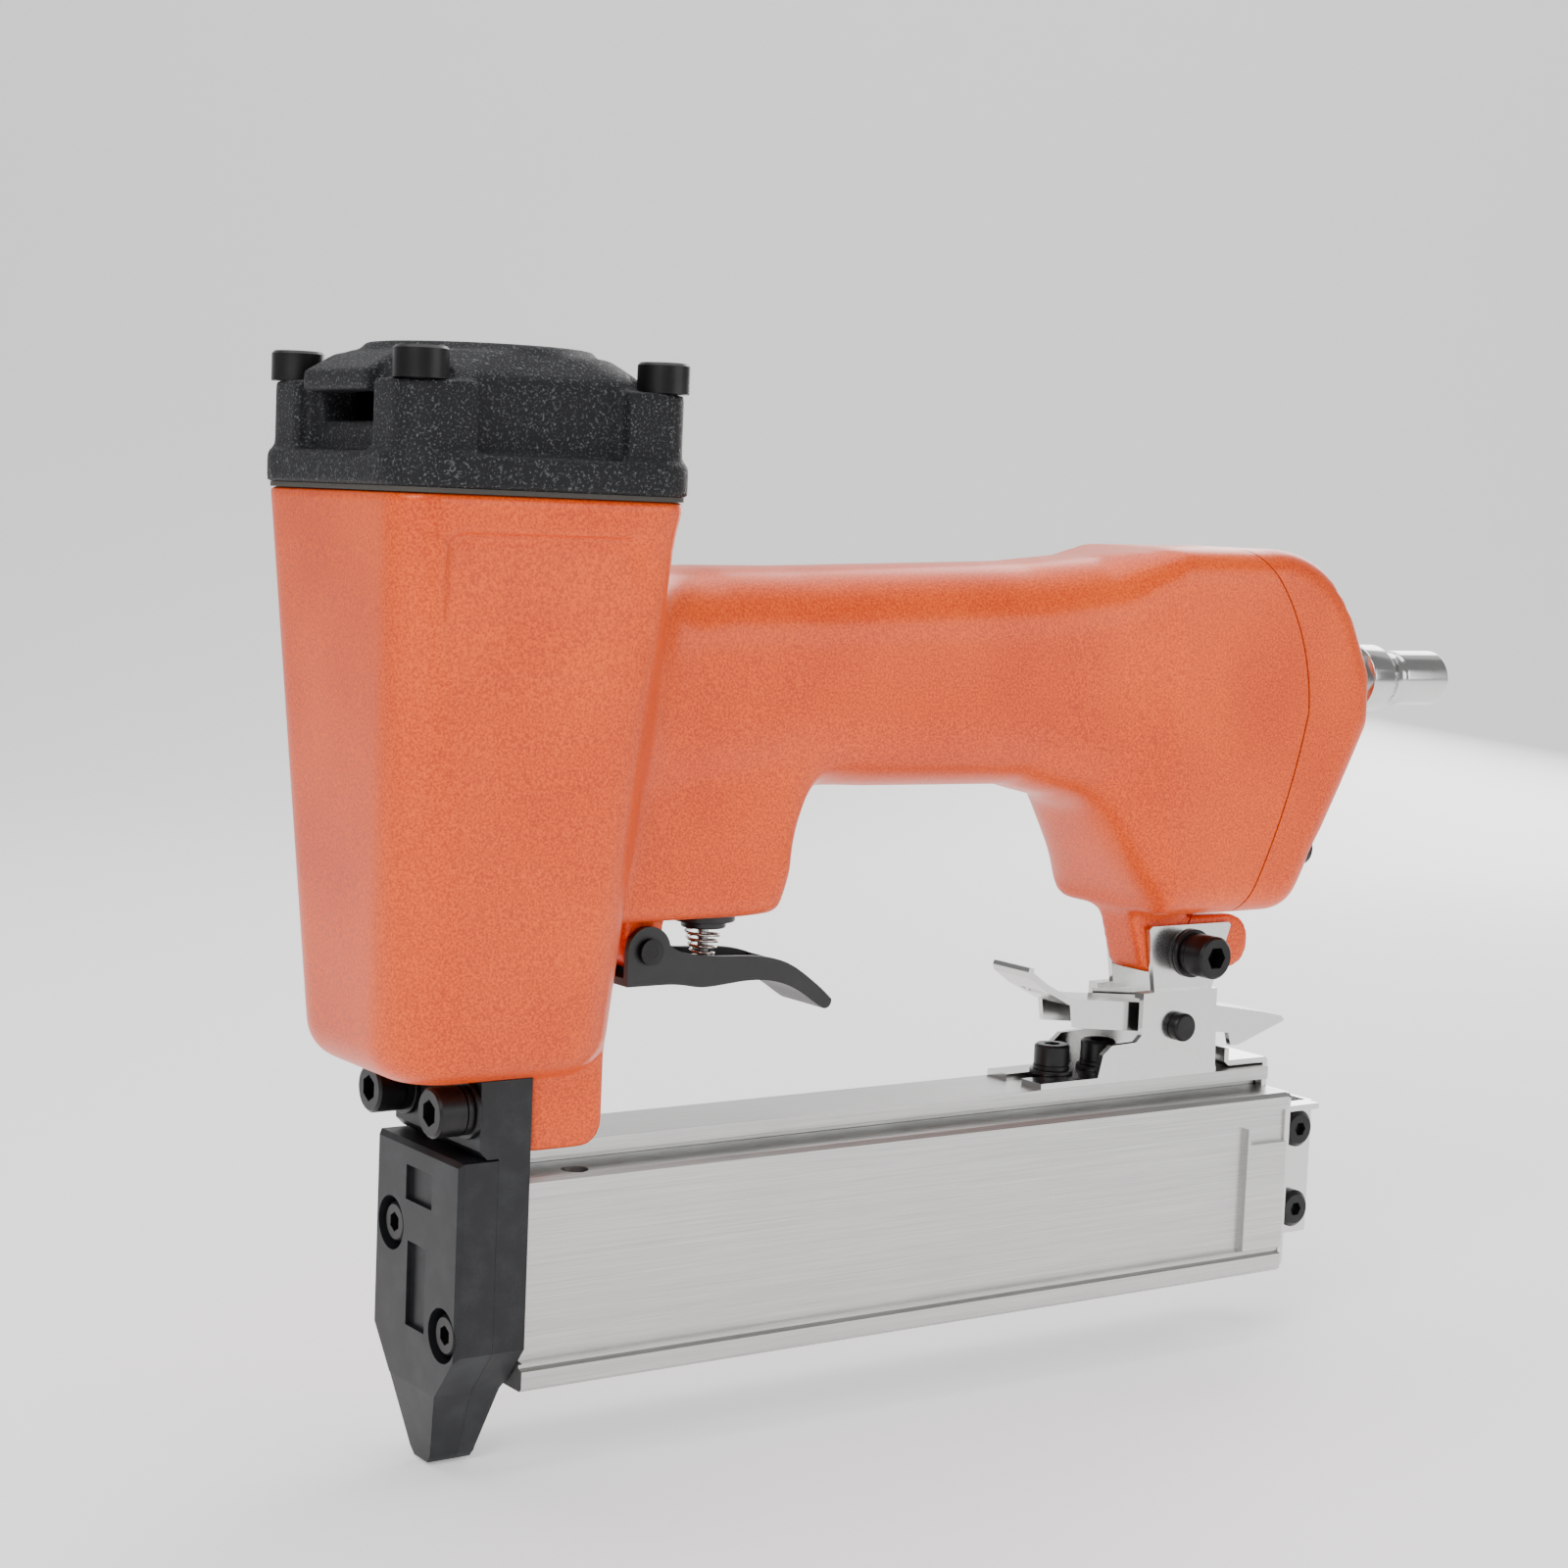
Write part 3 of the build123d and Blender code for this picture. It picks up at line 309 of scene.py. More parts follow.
@dataclass(frozen=True)
class HammerPaint(Finish):
    """Metallic orange enamel over a cast skin, with fine flecks and a clear top."""

    light: Point = (0.95, 0.125, 0.007)
    deep: Point = (0.52, 0.030, 0.001)
    fleck_mm: float = 0.42
    skin_mm: float = 9.0

    def dress(self, graph: Graph, shader: bpy.types.Node, place: bpy.types.NodeSocket) -> None:
        """Flecks, a slow change of shade, and an orange-peel skin."""
        fleck = self.ramp(graph, self.noise(graph, place, self.fleck_mm, 2.0, 0.6), 0.36, 0.64)
        drift = self.ramp(graph, self.noise(graph, place, self.skin_mm * 3, 1.0), 0.3, 0.7)
        shade = fleck * 0.72 + drift * 0.28
        self.set(graph, shader, "Base Color", self.tint(graph, shade, self.deep, self.light))
        self.set(graph, shader, "Roughness", 0.36 + fleck * 0.14)
        self.set(graph, shader, "Metallic", 0.05 + fleck * 0.2)
        peel = self.noise(graph, place, 1.1, 1.0)
        self.bump(graph, shader, fleck * 0.35 + peel * 0.65, 0.05, 0.55)
        shader.inputs["Specular IOR Level"].default_value = 0.3
        shader.inputs["Coat Weight"].default_value = 0.22
        shader.inputs["Coat Roughness"].default_value = 0.2


@dataclass(frozen=True)
class SandCast(Finish):
    """Black coating over a coarse sand-cast skin, with a painted highlight on each grain's tip where light
    would catch it.
    """

    grain_mm: float = 0.42
    # colour of the painted highlight on the grain tips
    painted_glint: Point = (0.10, 0.108, 0.115)

    def dress(self, graph: Graph, shader: bpy.types.Node, place: bpy.types.NodeSocket) -> None:
        """Coarse grains with a painted highlight on their tips."""
        grain = self.noise(graph, place, self.grain_mm, 3.0, 0.62)
        shader.inputs["Specular IOR Level"].default_value = 0.22
        # painted highlight: the grain tips are coloured lighter, as if they caught the light
        glint_tips = self.ramp(graph, grain, 0.55, 0.70)
        self.set(graph, shader, "Base Color", self.tint(graph, glint_tips, self.color, self.painted_glint))
        self.set(graph, shader, "Roughness", 0.58 - glint_tips * 0.22)
        self.bump(graph, shader, grain, 0.2, 0.9)


@dataclass(frozen=True)
class OiledBlack(Finish):
    """Black oxide, phosphate or satin black: dark steel with soft blotches and a fine grain."""

    worn: Point = (0.10, 0.10, 0.105)
    blotch_mm: float = 5.0
    grain_mm: float = 0.18
    depth_mm: float = 0.02

    def dress(self, graph: Graph, shader: bpy.types.Node, place: bpy.types.NodeSocket) -> None:
        """Blotches of wear and a fine grain."""
        blotch = self.noise(graph, place, self.blotch_mm, 3.0)
        grain = self.noise(graph, place, self.grain_mm, 2.0)
        wear = self.ramp(graph, blotch * 0.65 + grain * 0.35, 0.46, 0.68)
        self.set(graph, shader, "Base Color", self.tint(graph, wear, self.color, self.worn))
        self.set(graph, shader, "Roughness", self.roughness + (grain - 0.5) * 0.22)
        self.bump(graph, shader, grain, self.depth_mm, 0.5)


class Grain(Enum):
    """Which way a brushed or turned surface's lines run."""

    ALONG_X = (0.006, 1.0, 1.0)
    ALONG_Z = (1.0, 1.0, 0.02)
    EVEN = (1.0, 1.0, 1.0)


@dataclass(frozen=True)
class WorkedMetal(Finish):
    """Bare or plated metal with brush lines, a soft handled haze and small scratches."""

    grain: Grain = Grain.EVEN
    line_mm: float = 0.16
    contrast: float = 0.12
    depth_mm: float = 0.006
    haze_mm: float = 11.0

    def dress(self, graph: Graph, shader: bpy.types.Node, place: bpy.types.NodeSocket) -> None:
        """Lines along the grain, haze across it."""
        mapping = graph.node("ShaderNodeMapping", None, {"Vector": place, "Scale": self.grain.value})
        stretched = mapping.outputs[0]
        fine = self.noise(graph, stretched, self.line_mm, 3.0, 0.65)
        broad = self.noise(graph, stretched, self.line_mm * 5, 2.0)
        haze = self.noise(graph, place, self.haze_mm, 3.0)
        lines = fine * 0.75 + broad * 0.25
        dark = tuple(c * (1 - self.contrast * 2) for c in self.color)
        light = tuple(min(1.0, c * (1 + self.contrast)) for c in self.color)
        self.set(graph, shader, "Base Color",
                 self.tint(graph, self.ramp(graph, lines, 0.32, 0.68), dark, light))
        self.set(graph, shader, "Roughness",
                 self.roughness + (lines - 0.5) * self.contrast + (haze - 0.5) * 0.12)
        self.bump(graph, shader, lines, self.depth_mm, 0.6)


@dataclass(frozen=True)
class SoftMoulding(Finish):
    """Rubber, urethane, gasket sheet or nylon, with a moulded grain."""

    grain_mm: float = 0.5
    second: Point = (0.05, 0.05, 0.05)

    def dress(self, graph: Graph, shader: bpy.types.Node, place: bpy.types.NodeSocket) -> None:
        """A faint mottle and a moulded grain."""
        grain = self.noise(graph, place, self.grain_mm, 3.0)
        self.set(graph, shader, "Base Color", self.tint(graph, grain, self.color, self.second))
        self.set(graph, shader, "Roughness", self.roughness + (grain - 0.5) * 0.2)
        self.bump(graph, shader, grain, 0.05, 0.5)


FINISHES: tuple[Finish, ...] = (
    HammerPaint(Slot.PAINT, (0.80, 0.15, 0.04)),
    SandCast(Slot.CAST, (0.008, 0.0085, 0.0095)),
    OiledBlack(Slot.OXIDE, (0.004, 0.004, 0.0045), 0.4, 0.38, worn=(0.014, 0.014, 0.015)),
    OiledBlack(Slot.PHOSPHATE, (0.009, 0.010, 0.012), 0.35, 0.46, worn=(0.022, 0.024, 0.028),
               depth_mm=0.03),
    OiledBlack(Slot.TRIGGER, (0.003, 0.003, 0.004), 0.0, 0.42, worn=(0.008, 0.008, 0.009)),
    WorkedMetal(Slot.EXTRUSION, (0.55, 0.55, 0.54), 1.0, 0.33, grain=Grain.ALONG_X, line_mm=0.11,
                contrast=0.12),
    WorkedMetal(Slot.NICKEL, (0.62, 0.62, 0.61), 1.0, 0.17, contrast=0.05),
    WorkedMetal(Slot.GROUND, (0.58, 0.58, 0.59), 1.0, 0.27, grain=Grain.ALONG_Z),
    WorkedMetal(Slot.WIRE, (0.66, 0.65, 0.62), 1.0, 0.24),
    SoftMoulding(Slot.RUBBER, (0.012, 0.012, 0.012), 0.0, 0.55, second=(0.03, 0.03, 0.03)),
    SoftMoulding(Slot.BUMPER, (0.42, 0.17, 0.03), 0.0, 0.35, second=(0.52, 0.25, 0.06)),
    SoftMoulding(Slot.GASKET, (0.03, 0.028, 0.026), 0.0, 0.8, second=(0.07, 0.06, 0.05)),
    WorkedMetal(Slot.TURNED, (0.70, 0.70, 0.71), 1.0, 0.28, grain=Grain.ALONG_Z),
    SoftMoulding(Slot.NYLON, (0.014, 0.014, 0.015), 0.0, 0.45, second=(0.03, 0.03, 0.032)),
)


class Workshop:
    """Holds the finished materials and puts pieces in the scene."""

    def __init__(self, finishes: Iterable[Finish]) -> None:
        """Build every material once.

        Args:
            finishes: One finish for each of the record's slots.
        """
        self.materials = {finish.slot: finish.build() for finish in finishes}
        self.slot_of_node = {part["node"]: Slot(part["material_slot"])
                             for part in frame["record"]["subparts"]}
        self.body_of_node = {node: body for body, nodes in frame["record"]["behaviour"]["bodies"].items()
                             for node in nodes}

    def paint(self, target: bpy.types.Object, slot: Slot) -> None:
        """Give an object one slot's material.

        Args:
            target: The object.
            slot: The slot whose material it takes.
        """
        target.data.materials.clear()
        target.data.materials.append(self.materials[slot])

    def dress_frame(self) -> None:
        """Give every CAD node its slot's material."""
        for name, node in frame["nodes"].items():
            self.paint(node, self.slot_of_node[name])

    def stand_for(self, mesh: bpy.types.Mesh, node: str, name: str,
                  also: Sequence[str] = ()) -> bpy.types.Object:
        """Put a mesh in the scene in place of a CAD node.

        Args:
            mesh: The finished mesh, in the row frame.
            node: The CAD node it stands for, whose body and slot it takes.
            name: The new piece's name.
            also: Further CAD nodes that it stands for.

        Returns:
            The new object, riding on the node's body.
        """
        piece = bpy.data.objects.new(name, mesh)
        bpy.context.scene.collection.objects.link(piece)
        mesh.name = name
        slot = self.slot_of_node[node]
        self.paint(piece, slot)
        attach(piece, self.body_of_node[node])
        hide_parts(node, *also)
        log.info("%s: %d faces, on %s, in %s", name, len(mesh.polygons), self.body_of_node[node], slot.value)
        return piece


# ------------------------------------------------------------------ mesh tools


def merged_copy(node: str) -> bmesh.types.BMesh:
    """A CAD node's mesh as a bmesh with its doubled points merged."""
    shape = bmesh.new()
    shape.from_mesh(frame["nodes"][node].data)
    bmesh.ops.remove_doubles(shape, verts=shape.verts, dist=0.004 * MM)
    return shape


def settled_mesh(source: bpy.types.Object) -> bpy.types.Mesh:
    """The object's mesh with its modifiers applied; the object is removed."""
    bpy.context.view_layer.update()
    depsgraph = bpy.context.evaluated_depsgraph_get()
    mesh = bpy.data.meshes.new_from_object(source.evaluated_get(depsgraph))
    source.modifiers.clear()
    bpy.data.objects.remove(source)
    return mesh


def loose_object(mesh: bpy.types.Mesh) -> bpy.types.Object:
    """An object that only lives until its modifiers are applied."""
    made = bpy.data.objects.new("work", mesh)
    bpy.context.scene.collection.objects.link(made)
    return made


def broken_edges(node: str, width_mm: float, segments: int = 2) -> bpy.types.Mesh:
    """A CAD node's shape with its sharp edges broken, as a file or a tumbler leaves them.

    Args:
        node: The CAD node.
        width_mm: How wide the broken edge is.
        segments: Facets across each edge.

    Returns:
        The new mesh, smooth except across what is left sharp.
    """
    shape = merged_copy(node)
    bmesh.ops.dissolve_limit(shape, angle_limit=math.radians(0.6), verts=shape.verts, edges=shape.edges)
    mesh = bpy.data.meshes.new("work")
    shape.to_mesh(mesh)
    shape.free()
    mesh.shade_smooth()
    work = loose_object(mesh)
    bevel = work.modifiers.new("edge", "BEVEL")
    bevel.limit_method = "ANGLE"
    bevel.angle_limit = math.radians(32)
    bevel.width = width_mm * MM
    bevel.segments = segments
    bevel.use_clamp_overlap = True
    bevel.harden_normals = True
    weighted = work.modifiers.new("facets", "WEIGHTED_NORMAL")
    weighted.weight = 100
    weighted.keep_sharp = True
    return settled_mesh(work)


def closed_block(low: Point, high: Point) -> bmesh.types.BMesh:
    """A closed box.

    Args:
        low: The corner with the smallest coordinates.
        high: The corner with the largest.

    Returns:
        The box, in the row frame.
    """
    shape = bmesh.new()
    middle = [(a + b) / 2 for a, b in zip(low, high)]
    span = [b - a for a, b in zip(low, high)]
    place = Matrix.Translation(middle) @ Matrix.Diagonal((*span, 1.0))
    bmesh.ops.create_cube(shape, size=1.0, matrix=place)
    return shape


def closed_disc(centre: Point, radius: float, height: float) -> bmesh.types.BMesh:
    """A closed upright cylinder.

    Args:
        centre: The middle of its foot.
        radius: Its radius.
        height: How far up it reaches from its foot.

    Returns:
        The cylinder, in the row frame.
    """
    shape = bmesh.new()
    place = Matrix.Translation((centre[0], centre[1], centre[2] + height / 2))
    bmesh.ops.create_cone(shape, cap_ends=True, segments=64, radius1=radius, radius2=radius, depth=height,
                          matrix=place)
    return shape


def joined(shapes: Sequence[bmesh.types.BMesh]) -> bpy.types.Mesh:
    """Put several closed shapes in one mesh."""
    total = bmesh.new()
    for shape in shapes:
        part = bpy.data.meshes.new("part")
        shape.to_mesh(part)
        shape.free()
        total.from_mesh(part)
        bpy.data.meshes.remove(part)
    mesh = bpy.data.meshes.new("work")
    total.to_mesh(mesh)
    total.free()
    return mesh


def relaxed_casting(mesh: bpy.types.Mesh, voxel_mm: float,
                    passes: Sequence[tuple[int, Callable]]) -> bpy.types.Mesh:
    """Remesh closed shapes into one skin and relax it, so that its edges run soft as in a casting.

    Args:
        mesh: Closed shapes that may overlap.
        voxel_mm: Size of the new faces.
        passes: Each is a count of steps and a function from points in metres to how freely each moves.

    Returns:
        The new smooth mesh.
    """
    work = loose_object(mesh)
    remesh = work.modifiers.new("skin", "REMESH")
    remesh.mode = "VOXEL"
    remesh.voxel_size = voxel_mm * MM
    remesh.adaptivity = 0.0
    result = settled_mesh(work)
    count = len(result.vertices)
    points = np.zeros(count * 3, np.float32)
    result.vertices.foreach_get("co", points)
    points = points.reshape(-1, 3).astype(float)
    edges = np.zeros(len(result.edges) * 2, np.int32)
    result.edges.foreach_get("vertices", edges)
    first, second = edges[0::2], edges[1::2]
    valence = np.maximum(np.bincount(first, minlength=count) + np.bincount(second, minlength=count), 1)
    for steps, freedom in passes:
        free = freedom(points)[:, None]
        for _ in range(steps):
            total = np.zeros_like(points)
            for axis in range(3):
                total[:, axis] = (np.bincount(first, points[second, axis], count)
                                  + np.bincount(second, points[first, axis], count))
            points += (total / valence[:, None] - points) * 0.6 * free
    result.vertices.foreach_set("co", points.astype(np.float32).ravel())
    result.update()
    result.shade_smooth()
    return result


def fade(value: np.ndarray, start: float, end: float) -> np.ndarray:
    """A smooth step.

    Args:
        value: What is stepped.
        start: Where the step leaves 0.
        end: Where it arrives at 1.

    Returns:
        The step, from 0 to 1.
    """
    share = np.clip((value - start) / (end - start), 0.0, 1.0)
    return share * share * (3 - 2 * share)


# ------------------------------------------------------------------ castings


def arc_through(first: tuple[float, float], middle: tuple[float, float],
                last: tuple[float, float]) -> Callable[[np.ndarray], np.ndarray]:
    """The x of a rearward-bulging arc at any height.

    Args:
        first: One end as (x, z).
        middle: A point on the arc.
        last: The other end.

    Returns:
        A function from heights to x.
    """
    rows = np.array([(x, z, 1.0) for x, z in (first, middle, last)])
    a, b, c = np.linalg.solve(rows, -(rows[:, 0] ** 2 + rows[:, 1] ** 2))
    centre_x, centre_z = -a / 2, -b / 2
    square = centre_x ** 2 + centre_z ** 2 - c
    return lambda height: centre_x + np.sqrt(np.maximum(square - (height - centre_z) ** 2, 0.0))


@dataclass
class MainCasting:
    """The body with its handle, and the end cap that closes it: one skin, parted at the curved joint."""

    voxel_mm: float = 0.75
    edge_steps: int = 6
    root_steps: int = 80
    saddle_steps: int = 160
    gasket_mm: float = 0.8
    seam_top: tuple[float, float] = (158 * MM, 160 * MM)
    seam_upper: tuple[float, float] = (172 * MM, 143.5 * MM)
    seam_middle: tuple[float, float] = (175.8 * MM, 127 * MM)
    seam_lower: tuple[float, float] = (171.9 * MM, 112 * MM)
    seam_foot: tuple[float, float] = (160 * MM, 86 * MM)

    def seam_x(self, height: np.ndarray) -> np.ndarray:
        """Where the joint lies at each height."""
        upper = arc_through(self.seam_top, self.seam_upper, self.seam_middle)
        lower = arc_through(self.seam_middle, self.seam_lower, self.seam_foot)
        return np.where(height > self.seam_middle[1], upper(height), lower(height))

    def skin(self) -> bpy.types.Mesh:
        """The whole casting as one skin with soft edges and wide fillets round the handle's roots."""
        low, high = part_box("body_casting")
        valve_low, valve_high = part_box("trigger_valve_body")
        stem_x = (valve_low.x + valve_high.x) / 2
        fills = [merged_copy(node) for node in ("body_casting", "end_cap", "end_cap_gasket")]
        fills += [
            closed_disc((0, 0, 107.5 * MM), 22 * MM, high.z - 107.5 * MM),
            closed_disc((0, 0, 71.5 * MM), 17.6 * MM, 40 * MM),
            closed_block((-4 * MM, -4 * MM, low.z + 14 * MM), (4 * MM, 4 * MM, 73 * MM)),
            closed_disc((stem_x, 0, 91.6 * MM), 5.3 * MM, 32 * MM),
            closed_block((15 * MM, -11.3 * MM, 119.7 * MM), (181 * MM, 11.3 * MM, 147.3 * MM)),
            closed_block((145 * MM, -10.8 * MM, 101.5 * MM), (181.4 * MM, 10.8 * MM, 146.5 * MM)),
            closed_block((6.3 * MM, -13.6 * MM, 59.2 * MM), (19 * MM, 13.6 * MM, 66 * MM)),
        ]
        fills += [closed_disc((x * MM, y * MM, 153 * MM), 2.7 * MM, high.z - 153 * MM)
                  for x in (-22, 22) for y in (-22, 22)]
        boss_half = 2.3
        fills += [closed_block((149 * MM, (y - boss_half) * MM, (z - boss_half) * MM),
                               (177.9 * MM, (y + boss_half) * MM, (z + boss_half) * MM))
                  for y in (-12.5, 12.5) for z in (99.5, 149.0)]

        def edges_free(points: np.ndarray) -> np.ndarray:
            """Everything but the cap's joint face, and less round the side panels."""
            x, y, z = points.T
            at_top = fade(z, high.z - 2.0 * MM, high.z - 0.8 * MM)
            panel = fade(np.abs(y), 23 * MM, 24 * MM) * fade(21 * MM - np.abs(x), 0, MM)
            panel = panel * fade(z, 128 * MM, 132 * MM)
            return 1 - np.maximum(at_top, panel * 0.8)

        def roots_free(points: np.ndarray) -> np.ndarray:
            """Only the hollows between handle, cylinder, housing and bulge."""
            x, _, z = points.T
            front_root = fade(-np.abs(x - 25 * MM), -11 * MM, -4 * MM) * fade(z, 96 * MM, 106 * MM)
            front_root = front_root * fade(-z, -161 * MM, -157 * MM)
            housing_root = fade(-np.hypot(x - 64 * MM, z - 112 * MM), -15 * MM, -7 * MM)
            rear_root = fade(-np.hypot(x - 134 * MM, z - 106 * MM), -17 * MM, -8 * MM)
            bulge_front = fade(-np.abs(x - 142 * MM), -6 * MM, -1 * MM) * 0.12
            housing_heel = fade(-np.hypot(x - 57 * MM, z - 91.5 * MM), -9 * MM, -2 * MM) * 0.35
            return np.maximum.reduce([front_root, housing_root, rear_root, bulge_front, housing_heel])

        def saddle_free(points: np.ndarray) -> np.ndarray:
            """Only where the top of the handle runs up into the cylinder."""
            x, y, z = points.T
            across = fade(-np.abs(y), -18.5 * MM, -14 * MM)
            along = fade(-np.abs(x - 29 * MM), -15 * MM, -6 * MM)
            return across * along * fade(z, 138 * MM, 146 * MM) * fade(-z, -161.4 * MM, -157 * MM)

        return relaxed_casting(joined(fills), self.voxel_mm,
                               [(self.root_steps, roots_free), (self.saddle_steps, saddle_free),
                                (self.edge_steps, edges_free)])

    def side_of_joint(self, skin: bpy.types.Mesh, shift: float, side: int) -> bpy.types.Mesh:
        """The skin on one side of the joint, with a clean edge and a lip turned in along the joint face.

        Args:
            skin: The whole skin.
            shift: How far behind the joint line to part it, in metres.
            side: -1 keeps what is ahead, 1 what is behind.

        Returns:
            That side's mesh.
        """
        part = bmesh.new()
        part.from_mesh(skin)
        bmesh.ops.triangulate(part, faces=part.faces)
        heights = np.array([v.co.z for v in part.verts])
        gaps = np.array([v.co.x for v in part.verts]) - self.seam_x(heights) - shift
        part.verts.index_update()
        for _ in range(3):
            for edge in part.edges:
                one, two = (v.index for v in edge.verts)
                if gaps[one] * gaps[two] < 0:
                    near = one if abs(gaps[one]) < abs(gaps[two]) else two
                    vertex = edge.verts[0] if near == one else edge.verts[1]
                    vertex.co.x -= gaps[near]
                    gaps[near] = 0.0
        gone = [f for f in part.faces if side * sum(gaps[v.index] for v in f.verts) <= 0]
        bmesh.ops.delete(part, geom=gone, context="FACES")
        rim = [e for e in part.edges if e.is_boundary]
        drawn = bmesh.ops.extrude_edge_only(part, edges=rim)["geom"]
        lip = [item for item in drawn if isinstance(item, bmesh.types.BMVert)]
        for vertex in lip:
            vertex.co.y *= 0.86
            vertex.co.z += (self.seam_middle[1] - vertex.co.z) * 0.08
            vertex.co.x = float(self.seam_x(np.array(vertex.co.z))) + shift
        mesh = bpy.data.meshes.new("work")
        part.to_mesh(mesh)
        part.free()
        mesh.shade_smooth()
        mesh.set_sharp_from_angle(angle=math.radians(50))
        return mesh

    def gasket(self) -> bpy.types.Mesh:
        """The gasket, drawn in a little so that the joint reads as a fine dark groove."""
        inner = merged_copy("end_cap_gasket")
        thick = self.gasket_mm * MM
        for vertex in inner.verts:
            vertex.co.y *= 0.972
            vertex.co.z += (self.seam_middle[1] - vertex.co.z) * 0.02
            joint = float(self.seam_x(np.array(vertex.co.z)))
            vertex.co.x = joint + thick * round((vertex.co.x - joint) / thick)
        mesh = bpy.data.meshes.new("work")
        inner.to_mesh(mesh)
        inner.free()
        return mesh

    def build(self, shop: Workshop) -> None:
        """Put the body, the end cap and the gasket between them in the scene."""
        skin = self.skin()
        half = self.gasket_mm * MM * 0.25
        shop.stand_for(self.side_of_joint(skin, half, -1), "body_casting", "body_shell")
        shop.stand_for(self.side_of_joint(skin, self.gasket_mm * MM - half, 1), "end_cap", "end_cap_shell")
        shop.stand_for(self.gasket(), "end_cap_gasket", "end_cap_gasket_sheet")


@dataclass
class CylinderCap:
    """The sand-cast cap over the cylinder."""

    voxel_mm: float = 0.55
    steps: int = 5

    def build(self, shop: Workshop) -> bpy.types.Object:
        """The cap, with its edges rounded as cast."""
        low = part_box("cylinder_cap")[0]
        fills = [merged_copy("cylinder_cap"), closed_disc((0, 0, low.z), 20 * MM, 7 * MM)]
        fills += [closed_disc((x * MM, y * MM, low.z), 2.75 * MM, 16 * MM)
                  for x in (-22, 22) for y in (-22, 22)]
        foot = low.z + 0.4 * MM

        def free(points: np.ndarray) -> np.ndarray:
            """Everything but the joint face."""
            return 0.15 + 0.85 * fade(points[:, 2], foot, foot + 0.8 * MM)

        mesh = relaxed_casting(joined(fills), self.voxel_mm, [(self.steps, free)])
        return shop.stand_for(mesh, "cylinder_cap", "cylinder_cap_casting")


# ------------------------------------------------------------------ repeated parts


class GeometryTool:
    """A geometry node tree with named inputs, whose result becomes a plain mesh."""

    def __init__(self, name: str, inputs: Sequence[tuple[str, str, Any]]) -> None:
        """Start the tree.

        Args:
            name: Name of the tree.
            inputs: Name, socket type and starting value of each input.
        """
        self.tree = bpy.data.node_groups.new(name, "GeometryNodeTree")
        face = self.tree.interface
        face.new_socket("Geometry", in_out="INPUT", socket_type="NodeSocketGeometry")
        face.new_socket("Geometry", in_out="OUTPUT", socket_type="NodeSocketGeometry")
        self.keys: dict[str, str] = {}
        for title, kind, value in inputs:
            socket = face.new_socket(title, in_out="INPUT", socket_type=kind)
            if kind != "NodeSocketMaterial":
                socket.default_value = value
            self.keys[title] = socket.identifier
        self.graph = Graph(self.tree)
        self.given = self.graph.node("NodeGroupInput")

    def value(self, title: str) -> Link:
        """One of the tree's inputs, for use in an expression.

        Args:
            title: The input's name.

        Returns:
            The wrapped input.
        """
        return Link(self.graph, self.given.outputs[title])

    def close(self, geometry: bpy.types.NodeSocket) -> None:
        """End the tree in Realize Instances and Set Material.

        Args:
            geometry: What the tree has made.
        """
        real = self.graph.node("GeometryNodeRealizeInstances", None, {0: geometry})
        coated = self.graph.node("GeometryNodeSetMaterial", None,
                                 {0: real.outputs[0], "Material": self.given.outputs["Finish"]})
        self.graph.node("NodeGroupOutput", None, {0: coated.outputs[0]})

    def run(self, points: Sequence[Point], values: dict[str, Any]) -> bpy.types.Mesh:
        """Run the tree on a set of points.

        Args:
            points: Where the repeated shape goes, in the row frame.
            values: Input title to value.

        Returns:
            The plain mesh.
        """
        seed = bpy.data.meshes.new("seats")
        seed.from_pydata([tuple(p) for p in points], [], [])
        work = loose_object(seed)
        modifier = work.modifiers.new("tool", "NODES")
        modifier.node_group = self.tree
        for title, value in values.items():
            modifier[self.keys[title]] = value
        return settled_mesh(work)


